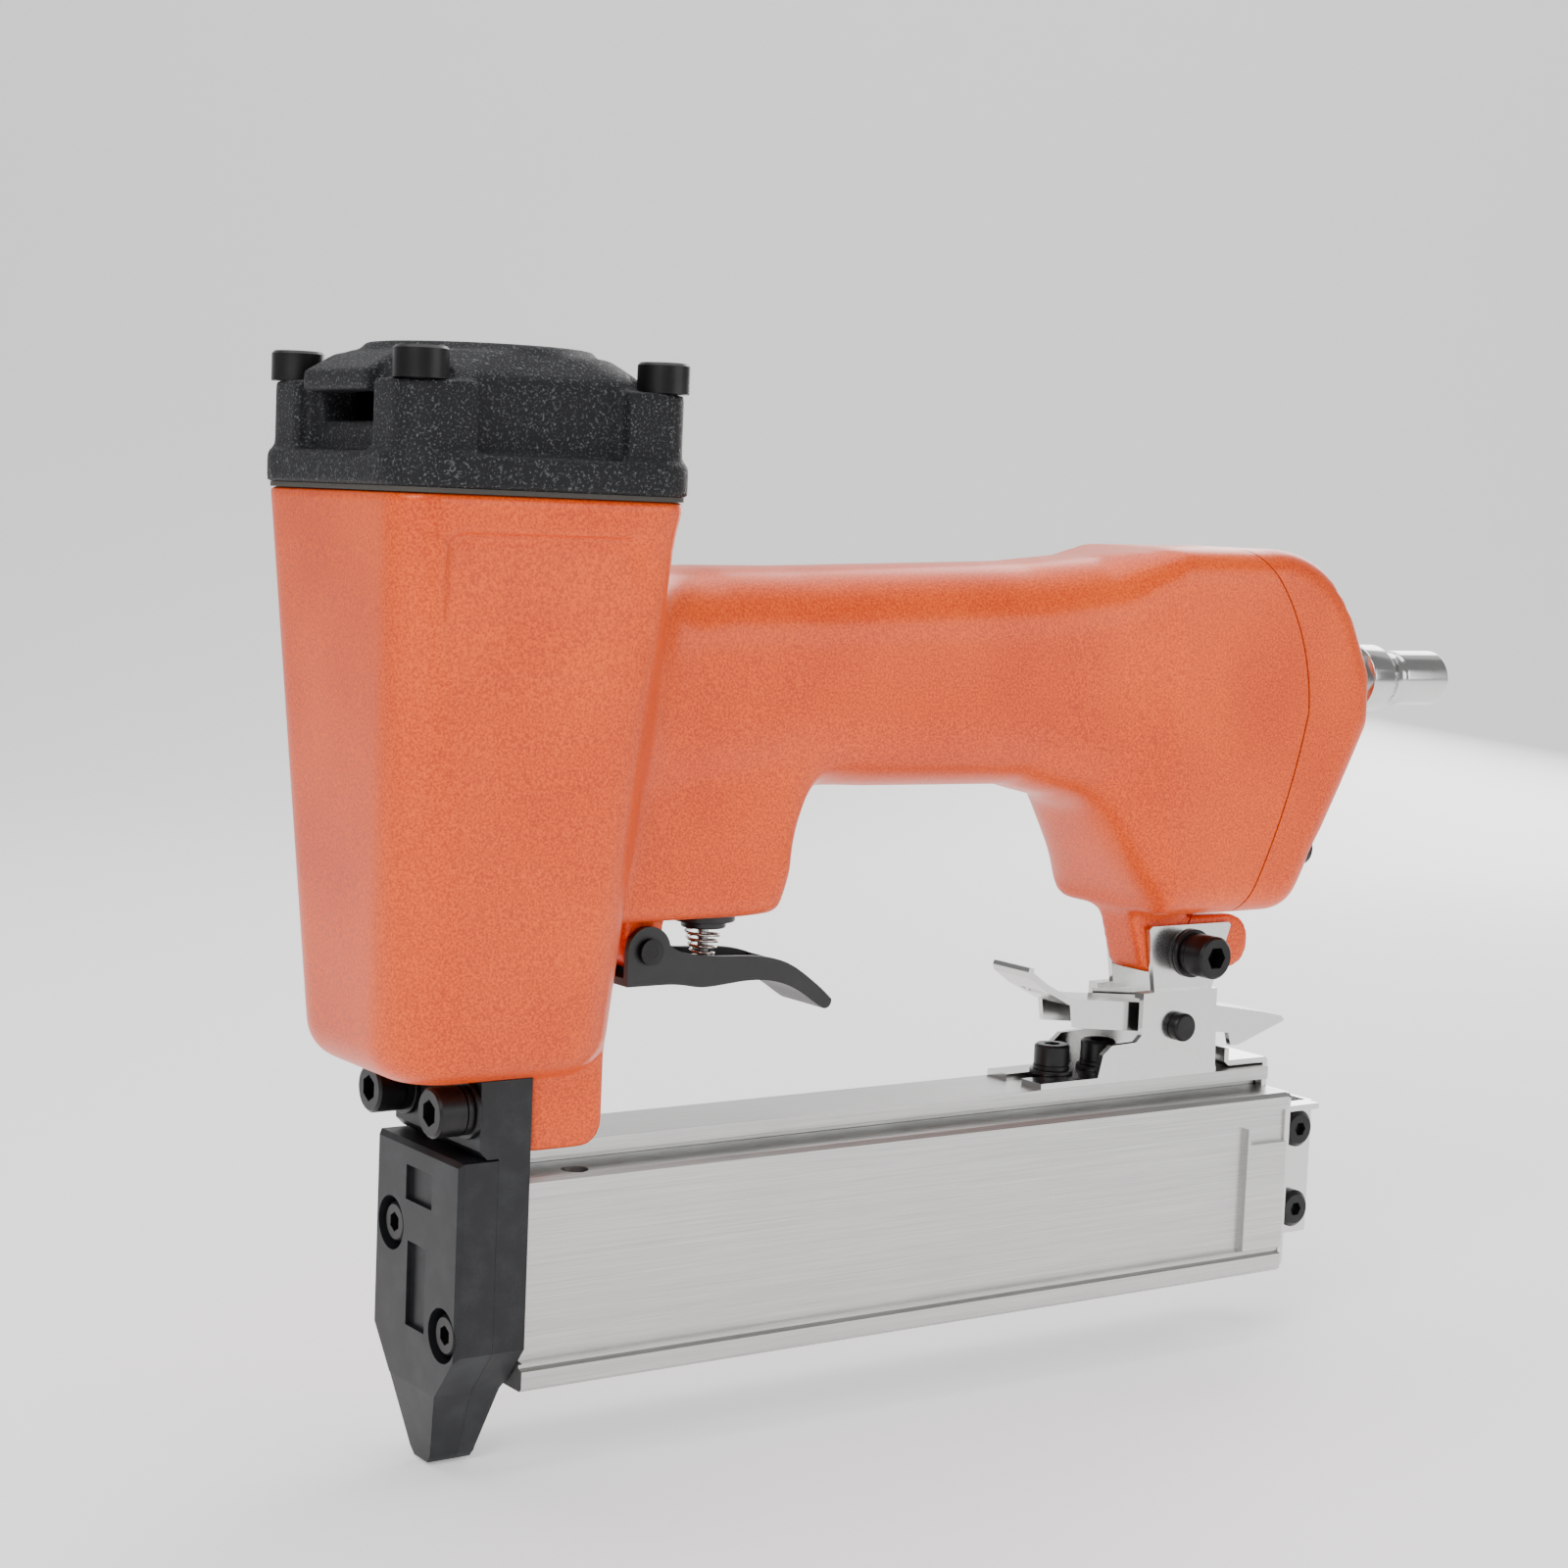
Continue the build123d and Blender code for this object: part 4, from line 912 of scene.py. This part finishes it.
class ScrewTool(GeometryTool):
    """Socket-head screws: shank, head with a broken rim, and a hexagon socket."""

    SIDES = 48

    def __init__(self) -> None:
        """Build the tree as one face that is drawn up, in and down again."""
        super().__init__("socket_screws", [
            ("Head radius", "NodeSocketFloat", 0.0043), ("Head height", "NodeSocketFloat", 0.005),
            ("Rim", "NodeSocketFloat", 0.0005), ("Shank radius", "NodeSocketFloat", 0.0025),
            ("Length", "NodeSocketFloat", 0.02), ("Socket radius", "NodeSocketFloat", 0.002),
            ("Socket depth", "NodeSocketFloat", 0.003), ("Turn", "NodeSocketRotation", (0.0, 0.0, 0.0)),
            ("Finish", "NodeSocketMaterial", None)])
        start = self.ring(self.value("Shank radius"), 0 - self.value("Length"))
        shape, top = self.draw(start, None, self.value("Length"))
        shape, top = self.step(shape, top, self.value("Head radius"))
        shape, top = self.draw(shape, top, self.value("Head height") - self.value("Rim"))
        shape, top = self.draw(shape, top, self.value("Rim"))
        shape = self.spread(shape, top, self.value("Head radius") - self.value("Rim"), False)
        shape, top = self.step(shape, top, self.value("Socket radius"), True)
        shape, top = self.draw(shape, top, 0 - self.value("Socket depth"))
        under = self.graph.node("GeometryNodeFlipFaces", None,
                                {0: self.ring(self.value("Shank radius"), 0 - self.value("Length"))})
        whole = self.graph.node("GeometryNodeJoinGeometry")
        self.tree.links.new(shape, whole.inputs[0])
        self.tree.links.new(under.outputs[0], whole.inputs[0])
        welded = self.graph.node("GeometryNodeMergeByDistance", None,
                                 {0: whole.outputs[0], "Distance": 0.00001})
        seats = self.graph.node("GeometryNodeMeshToPoints", None, {0: self.given.outputs["Geometry"]})
        placed = self.graph.node("GeometryNodeInstanceOnPoints", None,
                                 {"Points": seats.outputs[0], "Instance": welded.outputs[0],
                                  "Rotation": self.given.outputs["Turn"]})
        self.close(placed.outputs[0])

    def ring(self, radius: Link, height: Link) -> bpy.types.NodeSocket:
        """A filled disc.

        Args:
            radius: Its radius.
            height: How high it lies.

        Returns:
            The disc.
        """
        disc = self.graph.node("GeometryNodeMeshCircle", {"fill_type": "NGON"},
                               {"Vertices": self.SIDES, "Radius": radius})
        lift = self.graph.node("ShaderNodeCombineXYZ", None, {"Z": height})
        moved = self.graph.node("GeometryNodeTransform", None,
                                {0: disc.outputs[0], "Translation": lift.outputs[0]})
        return moved.outputs[0]

    def draw(self, shape: bpy.types.NodeSocket, top: Optional[bpy.types.NodeSocket],
             height: Any) -> tuple[bpy.types.NodeSocket, bpy.types.NodeSocket]:
        """Draw the top face straight up.

        Args:
            shape: The shape so far.
            top: Which face is the top, or None for the only one.
            height: How far up; less than 0 goes down.

        Returns:
            The shape and its new top.
        """
        sockets: dict[Any, Any] = {"Mesh": shape, "Offset Scale": height, "Individual": False}
        if top is not None:
            sockets["Selection"] = top
        lift = self.graph.node("ShaderNodeCombineXYZ", None, {"Z": 1.0})
        sockets["Offset"] = lift.outputs[0]
        drawn = self.graph.node("GeometryNodeExtrudeMesh", {"mode": "FACES"}, sockets)
        return drawn.outputs["Mesh"], drawn.outputs["Top"]

    def spread(self, shape: bpy.types.NodeSocket, top: bpy.types.NodeSocket, radius: Link,
               hexagonal: bool) -> bpy.types.NodeSocket:
        """Move the top face's rim.

        Args:
            shape: The shape so far.
            top: Which face is the top.
            radius: The new radius, or half the width across flats.
            hexagonal: Whether the rim becomes a hexagon.

        Returns:
            The changed shape.
        """
        place = self.graph.node("GeometryNodeInputPosition")
        parts = self.graph.node("ShaderNodeSeparateXYZ", None, {0: place.outputs[0]})
        x, y = Link(self.graph, parts.outputs[0]), Link(self.graph, parts.outputs[1])
        angle = self.graph.link(self.graph.node("ShaderNodeMath", {"operation": "ARCTAN2"}, {0: y, 1: x}))
        if hexagonal:
            sixth = math.pi / 3
            turned = self.graph.link(self.graph.node("ShaderNodeMath", {"operation": "FLOORED_MODULO"},
                                                     {0: angle, 1: sixth}))
            spread = self.graph.link(self.graph.node("ShaderNodeMath", {"operation": "COSINE"},
                                                     {0: turned - sixth / 2}))
            radius = self.graph.link(self.graph.node("ShaderNodeMath", {"operation": "DIVIDE"},
                                                     {0: radius, 1: spread}))
        cosine = self.graph.link(self.graph.node("ShaderNodeMath", {"operation": "COSINE"}, {0: angle}))
        sine = self.graph.link(self.graph.node("ShaderNodeMath", {"operation": "SINE"}, {0: angle}))
        there = self.graph.node("ShaderNodeCombineXYZ", None,
                                {"X": cosine * radius, "Y": sine * radius, "Z": parts.outputs[2]})
        moved = self.graph.node("GeometryNodeSetPosition", None,
                                {"Geometry": shape, "Selection": top, "Position": there.outputs[0]})
        return moved.outputs[0]

    def step(self, shape: bpy.types.NodeSocket, top: bpy.types.NodeSocket, radius: Link,
             hexagonal: bool = False) -> tuple[bpy.types.NodeSocket, bpy.types.NodeSocket]:
        """Add a flat step from the present rim to a new one.

        Args:
            shape: The shape so far.
            top: Which face is the top.
            radius: The new radius, or half the width across flats.
            hexagonal: Whether the new rim is a hexagon.

        Returns:
            The shape and its new top.
        """
        shape, top = self.draw(shape, top, 0.0)
        return self.spread(shape, top, radius, hexagonal), top


class CoilTool(GeometryTool):
    """Springs and spring washers: a section swept along a helix."""

    def __init__(self, square: bool) -> None:
        """Build the tree.

        Args:
            square: Whether the section is a rectangle, as in a spring washer, and not a round wire.
        """
        super().__init__("spring_washers" if square else "springs", [
            ("Turns", "NodeSocketFloat", 5.0), ("Height", "NodeSocketFloat", 0.01),
            ("Start radius", "NodeSocketFloat", 0.003), ("End radius", "NodeSocketFloat", 0.003),
            ("Wire width", "NodeSocketFloat", 0.0005), ("Wire height", "NodeSocketFloat", 0.0005),
            ("Steps", "NodeSocketInt", 160), ("Turn", "NodeSocketRotation", (0.0, 0.0, 0.0)),
            ("Finish", "NodeSocketMaterial", None)])
        helix = self.graph.node("GeometryNodeCurveSpiral", None, {
            "Resolution": self.given.outputs["Steps"], "Rotations": self.given.outputs["Turns"],
            "Start Radius": self.given.outputs["Start radius"],
            "End Radius": self.given.outputs["End radius"],
            "Height": self.given.outputs["Height"]})
        upright = self.graph.node("GeometryNodeSetCurveNormal", {"mode": "Z_UP"}, {0: helix.outputs[0]})
        if square:
            section = self.graph.node("GeometryNodeCurvePrimitiveQuadrilateral", None,
                                      {"Width": self.given.outputs["Wire width"],
                                       "Height": self.given.outputs["Wire height"]})
        else:
            section = self.graph.node("GeometryNodeCurvePrimitiveCircle", None,
                                      {"Resolution": 10, "Radius": self.given.outputs["Wire width"]})
        swept = self.graph.node("GeometryNodeCurveToMesh", None,
                                {"Curve": upright.outputs[0], "Profile Curve": section.outputs[0],
                                 "Fill Caps": True})
        seats = self.graph.node("GeometryNodeMeshToPoints", None, {0: self.given.outputs["Geometry"]})
        placed = self.graph.node("GeometryNodeInstanceOnPoints", None,
                                 {"Points": seats.outputs[0], "Instance": swept.outputs[0],
                                  "Rotation": self.given.outputs["Turn"]})
        self.close(placed.outputs[0])


class Facing(Enum):
    """Which way a repeated shape's own +Z points, as a turn in radians."""

    UP = (0.0, 0.0, 0.0)
    REAR = (0.0, math.pi / 2, 0.0)
    FRONT = (0.0, -math.pi / 2, 0.0)
    NEAR = (math.pi / 2, 0.0, 0.0)
    FAR = (-math.pi / 2, 0.0, 0.0)


@dataclass
class ScrewRow:
    """Equal socket-head screws on one seat; sizes in millimetres."""

    node: str
    seats: list[Point]
    facing: Facing
    head_r: float
    head_h: float
    shank_r: float
    length: float
    socket_r: float
    rim: float = 0.45

    def mesh(self, tool: ScrewTool, coat: bpy.types.Material) -> bpy.types.Mesh:
        """The row's screws as one mesh.

        Args:
            tool: The screw tree.
            coat: The material of the row.

        Returns:
            The row's mesh.
        """
        values = {"Head radius": self.head_r * MM, "Head height": self.head_h * MM, "Rim": self.rim * MM,
                  "Shank radius": self.shank_r * MM, "Length": self.length * MM,
                  "Socket radius": self.socket_r * MM, "Socket depth": self.head_h * 0.6 * MM,
                  "Turn": self.facing.value, "Finish": coat}
        made = tool.run([tuple(v * MM for v in seat) for seat in self.seats], values)
        made.shade_smooth()
        made.set_sharp_from_angle(angle=math.radians(34))
        return made


@dataclass
class CoilRow:
    """Equal coils on given places; sizes in millimetres."""

    node: str
    seats: list[Point]
    facing: Facing
    turns: float
    height: float
    start_r: float
    end_r: float
    wire: float
    wire_h: float = 0.0
    steps: int = 28

    def mesh(self, tool: CoilTool, coat: bpy.types.Material) -> bpy.types.Mesh:
        """The row's coils as one mesh.

        Args:
            tool: The coil tree, round or square.
            coat: The material of the row.

        Returns:
            The row's mesh.
        """
        values = {"Turns": self.turns, "Height": self.height * MM, "Start radius": self.start_r * MM,
                  "End radius": self.end_r * MM, "Wire width": self.wire * MM,
                  "Wire height": self.wire_h * MM,
                  "Steps": self.steps, "Turn": self.facing.value, "Finish": coat}
        made = tool.run([tuple(v * MM for v in seat) for seat in self.seats], values)
        made.shade_smooth()
        made.set_sharp_from_angle(angle=math.radians(50))
        return made


@dataclass
class Fasteners:
    """Every screw and split spring washer of the tool."""

    cap_pitch_half: float = 22.0
    end_x: float = 178.0
    end_y: float = 12.5
    mount_y: float = 10.9
    base_xs: tuple[float, float] = (130.2, 142.0)

    def rows(self) -> list[ScrewRow]:
        """All screw rows, with the places of their seats."""
        cap = self.cap_pitch_half
        corners = [(x, y, 180.0) for x in (-cap, cap) for y in (-cap, cap)]
        ends = [(self.end_x, y, z) for y in (-self.end_y, self.end_y) for z in (149.0, 99.5)]
        mounts = [(-6.0, y, 62.1) for y in (-self.mount_y, self.mount_y)]
        bases = [(x, 0.0, 57.4) for x in self.base_xs]
        return [
            ScrewRow("cap_screws", corners, Facing.UP, 4.35, 4.95, 2.5, 24.4, 2.0),
            ScrewRow("end_cap_screws", ends, Facing.REAR, 3.45, 3.95, 2.0, 24.0, 1.5),
            ScrewRow("nose_plate_screws", [(-2.8, 9.0, 39.0), (-2.8, -10.0, 24.2)], Facing.FRONT,
                     3.45, 3.55, 2.0, 8.2, 1.5),
            ScrewRow("nose_mount_screws", mounts, Facing.FRONT, 4.2, 4.95, 2.5, 20.0, 2.0),
            ScrewRow("bracket_bolt", [(159.0, -9.1, 78.5)], Facing.NEAR, 4.2, 4.95, 2.5, 22.0, 2.0),
            ScrewRow("base_screws", bases, Facing.UP, 3.45, 3.95, 2.0, 6.7, 1.5),
        ]

    def button_heads(self) -> list[ScrewRow]:
        """The low screws on both sides of the end bracket."""
        low, high = 25.2, 41.7
        near = [(186.8, -9.75, z) for z in (low, high)]
        far = [(186.8, 9.75, z) for z in (low, high)]
        size = (3.75, 2.15, 2.0, 6.9, 1.25, 0.8)
        return [ScrewRow("end_bracket_screws", near, Facing.NEAR, *size),
                ScrewRow("end_bracket_screws", far, Facing.FAR, *size)]

    def split_washers(self) -> list[CoilRow]:
        """The split spring washers, each a single square coil."""
        mounts = [(-4.6 - 0.55, y, 62.1) for y in (-self.mount_y, self.mount_y)]
        bases = [(x, 0.0, 56.4 + 0.4) for x in self.base_xs]
        return [
            CoilRow("nose_spring_washers", mounts, Facing.FRONT, 0.965, 0.25, 3.4, 3.4, 1.5, 1.0, 72),
            CoilRow("bracket_spring_washer", [(159.0, -7.7 - 0.55, 78.5)], Facing.NEAR, 0.965, 0.25,
                    3.4, 3.4, 1.5, 1.0, 72),
            CoilRow("base_spring_washers", bases, Facing.UP, 0.965, 0.2, 2.85, 2.85, 1.4, 0.75, 72),
        ]

    def build(self, shop: Workshop) -> None:
        """Put all of them in the scene."""
        screws, washers = ScrewTool(), CoilTool(True)
        coat = shop.materials[Slot.OXIDE]
        for row in self.rows():
            shop.stand_for(row.mesh(screws, coat), row.node, row.node + "_socket")
        near, far = (row.mesh(screws, coat) for row in self.button_heads())
        both = bmesh.new()
        both.from_mesh(near)
        both.from_mesh(far)
        pair = bpy.data.meshes.new("pair")
        both.to_mesh(pair)
        both.free()
        shop.stand_for(pair, "end_bracket_screws", "end_bracket_buttons")
        for row in self.split_washers():
            shop.stand_for(row.mesh(washers, coat), row.node, row.node + "_split")


@dataclass
class Springs:
    """The four springs; three of them get meshes of their own."""

    def build(self, shop: Workshop) -> None:
        """Put the springs in the scene, each on its body, and give three of them meshes of their own."""
        tool = CoilTool(False)
        coat = shop.materials[Slot.WIRE]
        trigger = CoilRow("trigger_valve_spring", [(48.2, 0, 83.5)], Facing.UP, 4.0, 4.45, 1.95, 3.25,
                          0.27)
        valve = CoilRow("head_valve_spring", [(0, 0, 162.3)], Facing.UP, 4.0, 16.4, 11.5, 11.5, 0.8)
        latch = CoilRow("latch_spring", [(155.3, 2.6, 64.4)], Facing.NEAR, 6.0, 5.2, 2.4, 2.4, 0.3)
        pusher = CoilRow("pusher_spring", [(26.95, 0, 20.8)], Facing.REAR, 24.0, 152.6, 2.25, 2.25,
                         0.4)
        shown = {row.node: shop.stand_for(row.mesh(tool, coat), row.node, row.node + "_coil")
                 for row in (trigger, valve, latch, pusher)}
        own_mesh(shown["trigger_valve_spring"])
        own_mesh(shown["head_valve_spring"])
        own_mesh(shown["pusher_spring"])


# ------------------------------------------------------------------ machined and pressed parts


@dataclass
class BrokenEdgeGroup:
    """Parts that keep their machined shape, with their edges broken by a stated width."""

    title: str
    widths_mm: dict[str, float]
    segments: int = 2

    def build(self, shop: Workshop) -> None:
        """Put each part in the scene."""
        for node, width in self.widths_mm.items():
            shop.stand_for(broken_edges(node, width, self.segments), node, node + "_finished")
        log.info("%s: %d parts", self.title, len(self.widths_mm))


NOSE = BrokenEdgeGroup("nose", {
    "nose_front_plate": 0.5, "nose_rear_plate": 0.45, "nose_flat_washers": 0.15}, 3)
TRIGGER = BrokenEdgeGroup("trigger group", {
    "trigger": 0.55, "trigger_pin": 0.25, "trigger_valve_body": 0.3, "trigger_valve_stem": 0.12}, 3)
LATCH = BrokenEdgeGroup("latch group", {
    "rear_bracket": 0.28, "latch_lever": 0.3, "latch_pin": 0.2, "bracket_nut": 0.3,
    "bracket_flat_washer": 0.15, "base_flat_washers": 0.12})
MAGAZINE = BrokenEdgeGroup("magazine", {
    "movable_magazine": 0.3, "fixed_magazine": 0.2, "magazine_end_plate": 0.35, "magazine_end_bracket": 0.35,
    "magazine_end_block": 0.4, "pusher_rod": 0.15, "rod_bush": 0.2, "pusher": 0.2})
PLUG = BrokenEdgeGroup("air plug", {"air_plug": 0.22}, 3)


# ------------------------------------------------------------------ studio


@dataclass
class Studio:
    """A pale swept backdrop, soft lamps, and the camera."""

    eye: Point = (-0.22762, -0.418951, 0.162444)
    azimuth_deg: float = -34.871
    elevation_deg: float = 5.499
    roll_deg: float = 2.363
    lens_mm: float = 65.77
    sensor_mm: float = 36.0
    sweep_half: float = 2.4
    floor_z: float = -0.0006

    def camera(self) -> None:
        """The camera, turned about its own axis by the roll."""
        a, e, r = (math.radians(v) for v in (self.azimuth_deg, self.elevation_deg, self.roll_deg))
        back = Vector((math.sin(a) * math.cos(e), -math.cos(a) * math.cos(e), math.sin(e)))
        forward = -back
        right = forward.cross(Vector((0, 0, 1))).normalized()
        up = right.cross(forward)
        across = right * math.cos(r) + up * math.sin(r)
        above = up * math.cos(r) - right * math.sin(r)
        data = bpy.data.cameras.new("camera")
        data.lens, data.sensor_width, data.sensor_height = self.lens_mm, self.sensor_mm, self.sensor_mm
        data.clip_start, data.clip_end = 0.01, 50.0
        rig = bpy.data.objects.new("camera", data)
        turn = Matrix((across, above, back)).transposed().to_4x4()
        rig.matrix_world = Matrix.Translation(self.eye) @ turn
        bpy.context.scene.collection.objects.link(rig)
        bpy.context.scene.camera = rig

    def lamp(self, name: str, place: Point, size: tuple[float, float], power: float) -> None:
        """A soft rectangular lamp that faces the middle of the tool.

        Args:
            name: The lamp's name.
            place: Where it stands.
            size: Its width and height.
            power: Its power in watts.
        """
        data = bpy.data.lights.new(name, "AREA")
        data.shape, data.size, data.size_y, data.energy = "RECTANGLE", size[0], size[1], power
        lamp = bpy.data.objects.new(name, data)
        lamp.location = place
        aim = Vector((0.09, 0, 0.09)) - Vector(place)
        lamp.rotation_euler = aim.to_track_quat("-Z", "Y").to_euler()
        bpy.context.scene.collection.objects.link(lamp)

    @staticmethod
    def paper(name: str, color: Point, glow: float = 0.0) -> bpy.types.Material:
        """Matt paper that glows a little.

        Args:
            name: The material's name.
            color: The paper's colour.
            glow: How strongly it glows.

        Returns:
            The material.
        """
        material = bpy.data.materials.new(name)
        material.use_nodes = True
        shader = material.node_tree.nodes["Principled BSDF"]
        shader.inputs["Base Color"].default_value = (*color, 1.0)
        shader.inputs["Roughness"].default_value = 0.9
        shader.inputs["Specular IOR Level"].default_value = 0.1
        shader.inputs["Emission Color"].default_value = (1.0, 1.0, 1.0, 1.0)
        shader.inputs["Emission Strength"].default_value = glow
        return material

    def backdrop(self) -> bpy.types.Object:
        """The floor that sweeps up behind the tool into a wall, square to the camera."""
        turn = Matrix.Rotation(math.radians(self.azimuth_deg), 4, "Z")
        bend, start, top = 0.7, 0.9, 2.6
        profile = [(-2.2, self.floor_z), (start, self.floor_z)]
        profile += [(start + bend * math.sin(t), self.floor_z + bend * (1 - math.cos(t)))
                    for t in (math.pi / 2 * i / 24 for i in range(1, 25))]
        profile.append((start + bend, top))
        points = [tuple(turn @ Vector((side * self.sweep_half, y, z)))
                  for y, z in profile for side in (-1, 1)]
        faces = [(2 * i, 2 * i + 1, 2 * i + 3, 2 * i + 2) for i in range(len(profile) - 1)]
        mesh = bpy.data.meshes.new("backdrop")
        mesh.from_pydata(points, [], faces)
        mesh.shade_smooth()
        sweep = bpy.data.objects.new("backdrop", mesh)
        bpy.context.scene.collection.objects.link(sweep)
        mesh.materials.append(self.paper("backdrop_paper", (0.95, 0.95, 0.945), 0.35))
        return sweep

    def build(self) -> None:
        """Set up the whole studio."""
        self.backdrop()
        self.camera()
        world = bpy.data.worlds.new("studio")
        world.use_nodes = True
        ground = world.node_tree.nodes["Background"]
        ground.inputs[0].default_value = (1.0, 1.0, 1.0, 1.0)
        ground.inputs[1].default_value = 0.3
        bpy.context.scene.world = world
        self.lamp("key", (-0.75, -0.55, 0.75), (0.6, 0.6), 9.0)
        self.lamp("fill", (0.65, -0.95, 0.35), (0.8, 0.5), 3.5)
        self.lamp("top", (0.1, 0.1, 1.1), (1.1, 0.8), 9.0)
        self.lamp("rim", (0.9, 0.55, 0.5), (0.4, 0.9), 6.0)


def main() -> None:
    """Dress every part, then light it."""
    logging.basicConfig(level=logging.INFO, format="%(name)s: %(message)s")
    shop = Workshop(FINISHES)
    shop.dress_frame()
    MainCasting().build(shop)
    CylinderCap().build(shop)
    for group in (NOSE, TRIGGER, LATCH, MAGAZINE, PLUG):
        group.build(shop)
    Fasteners().build(shop)
    Springs().build(shop)
    Studio().build()


if __name__ == "__main__":
    main()
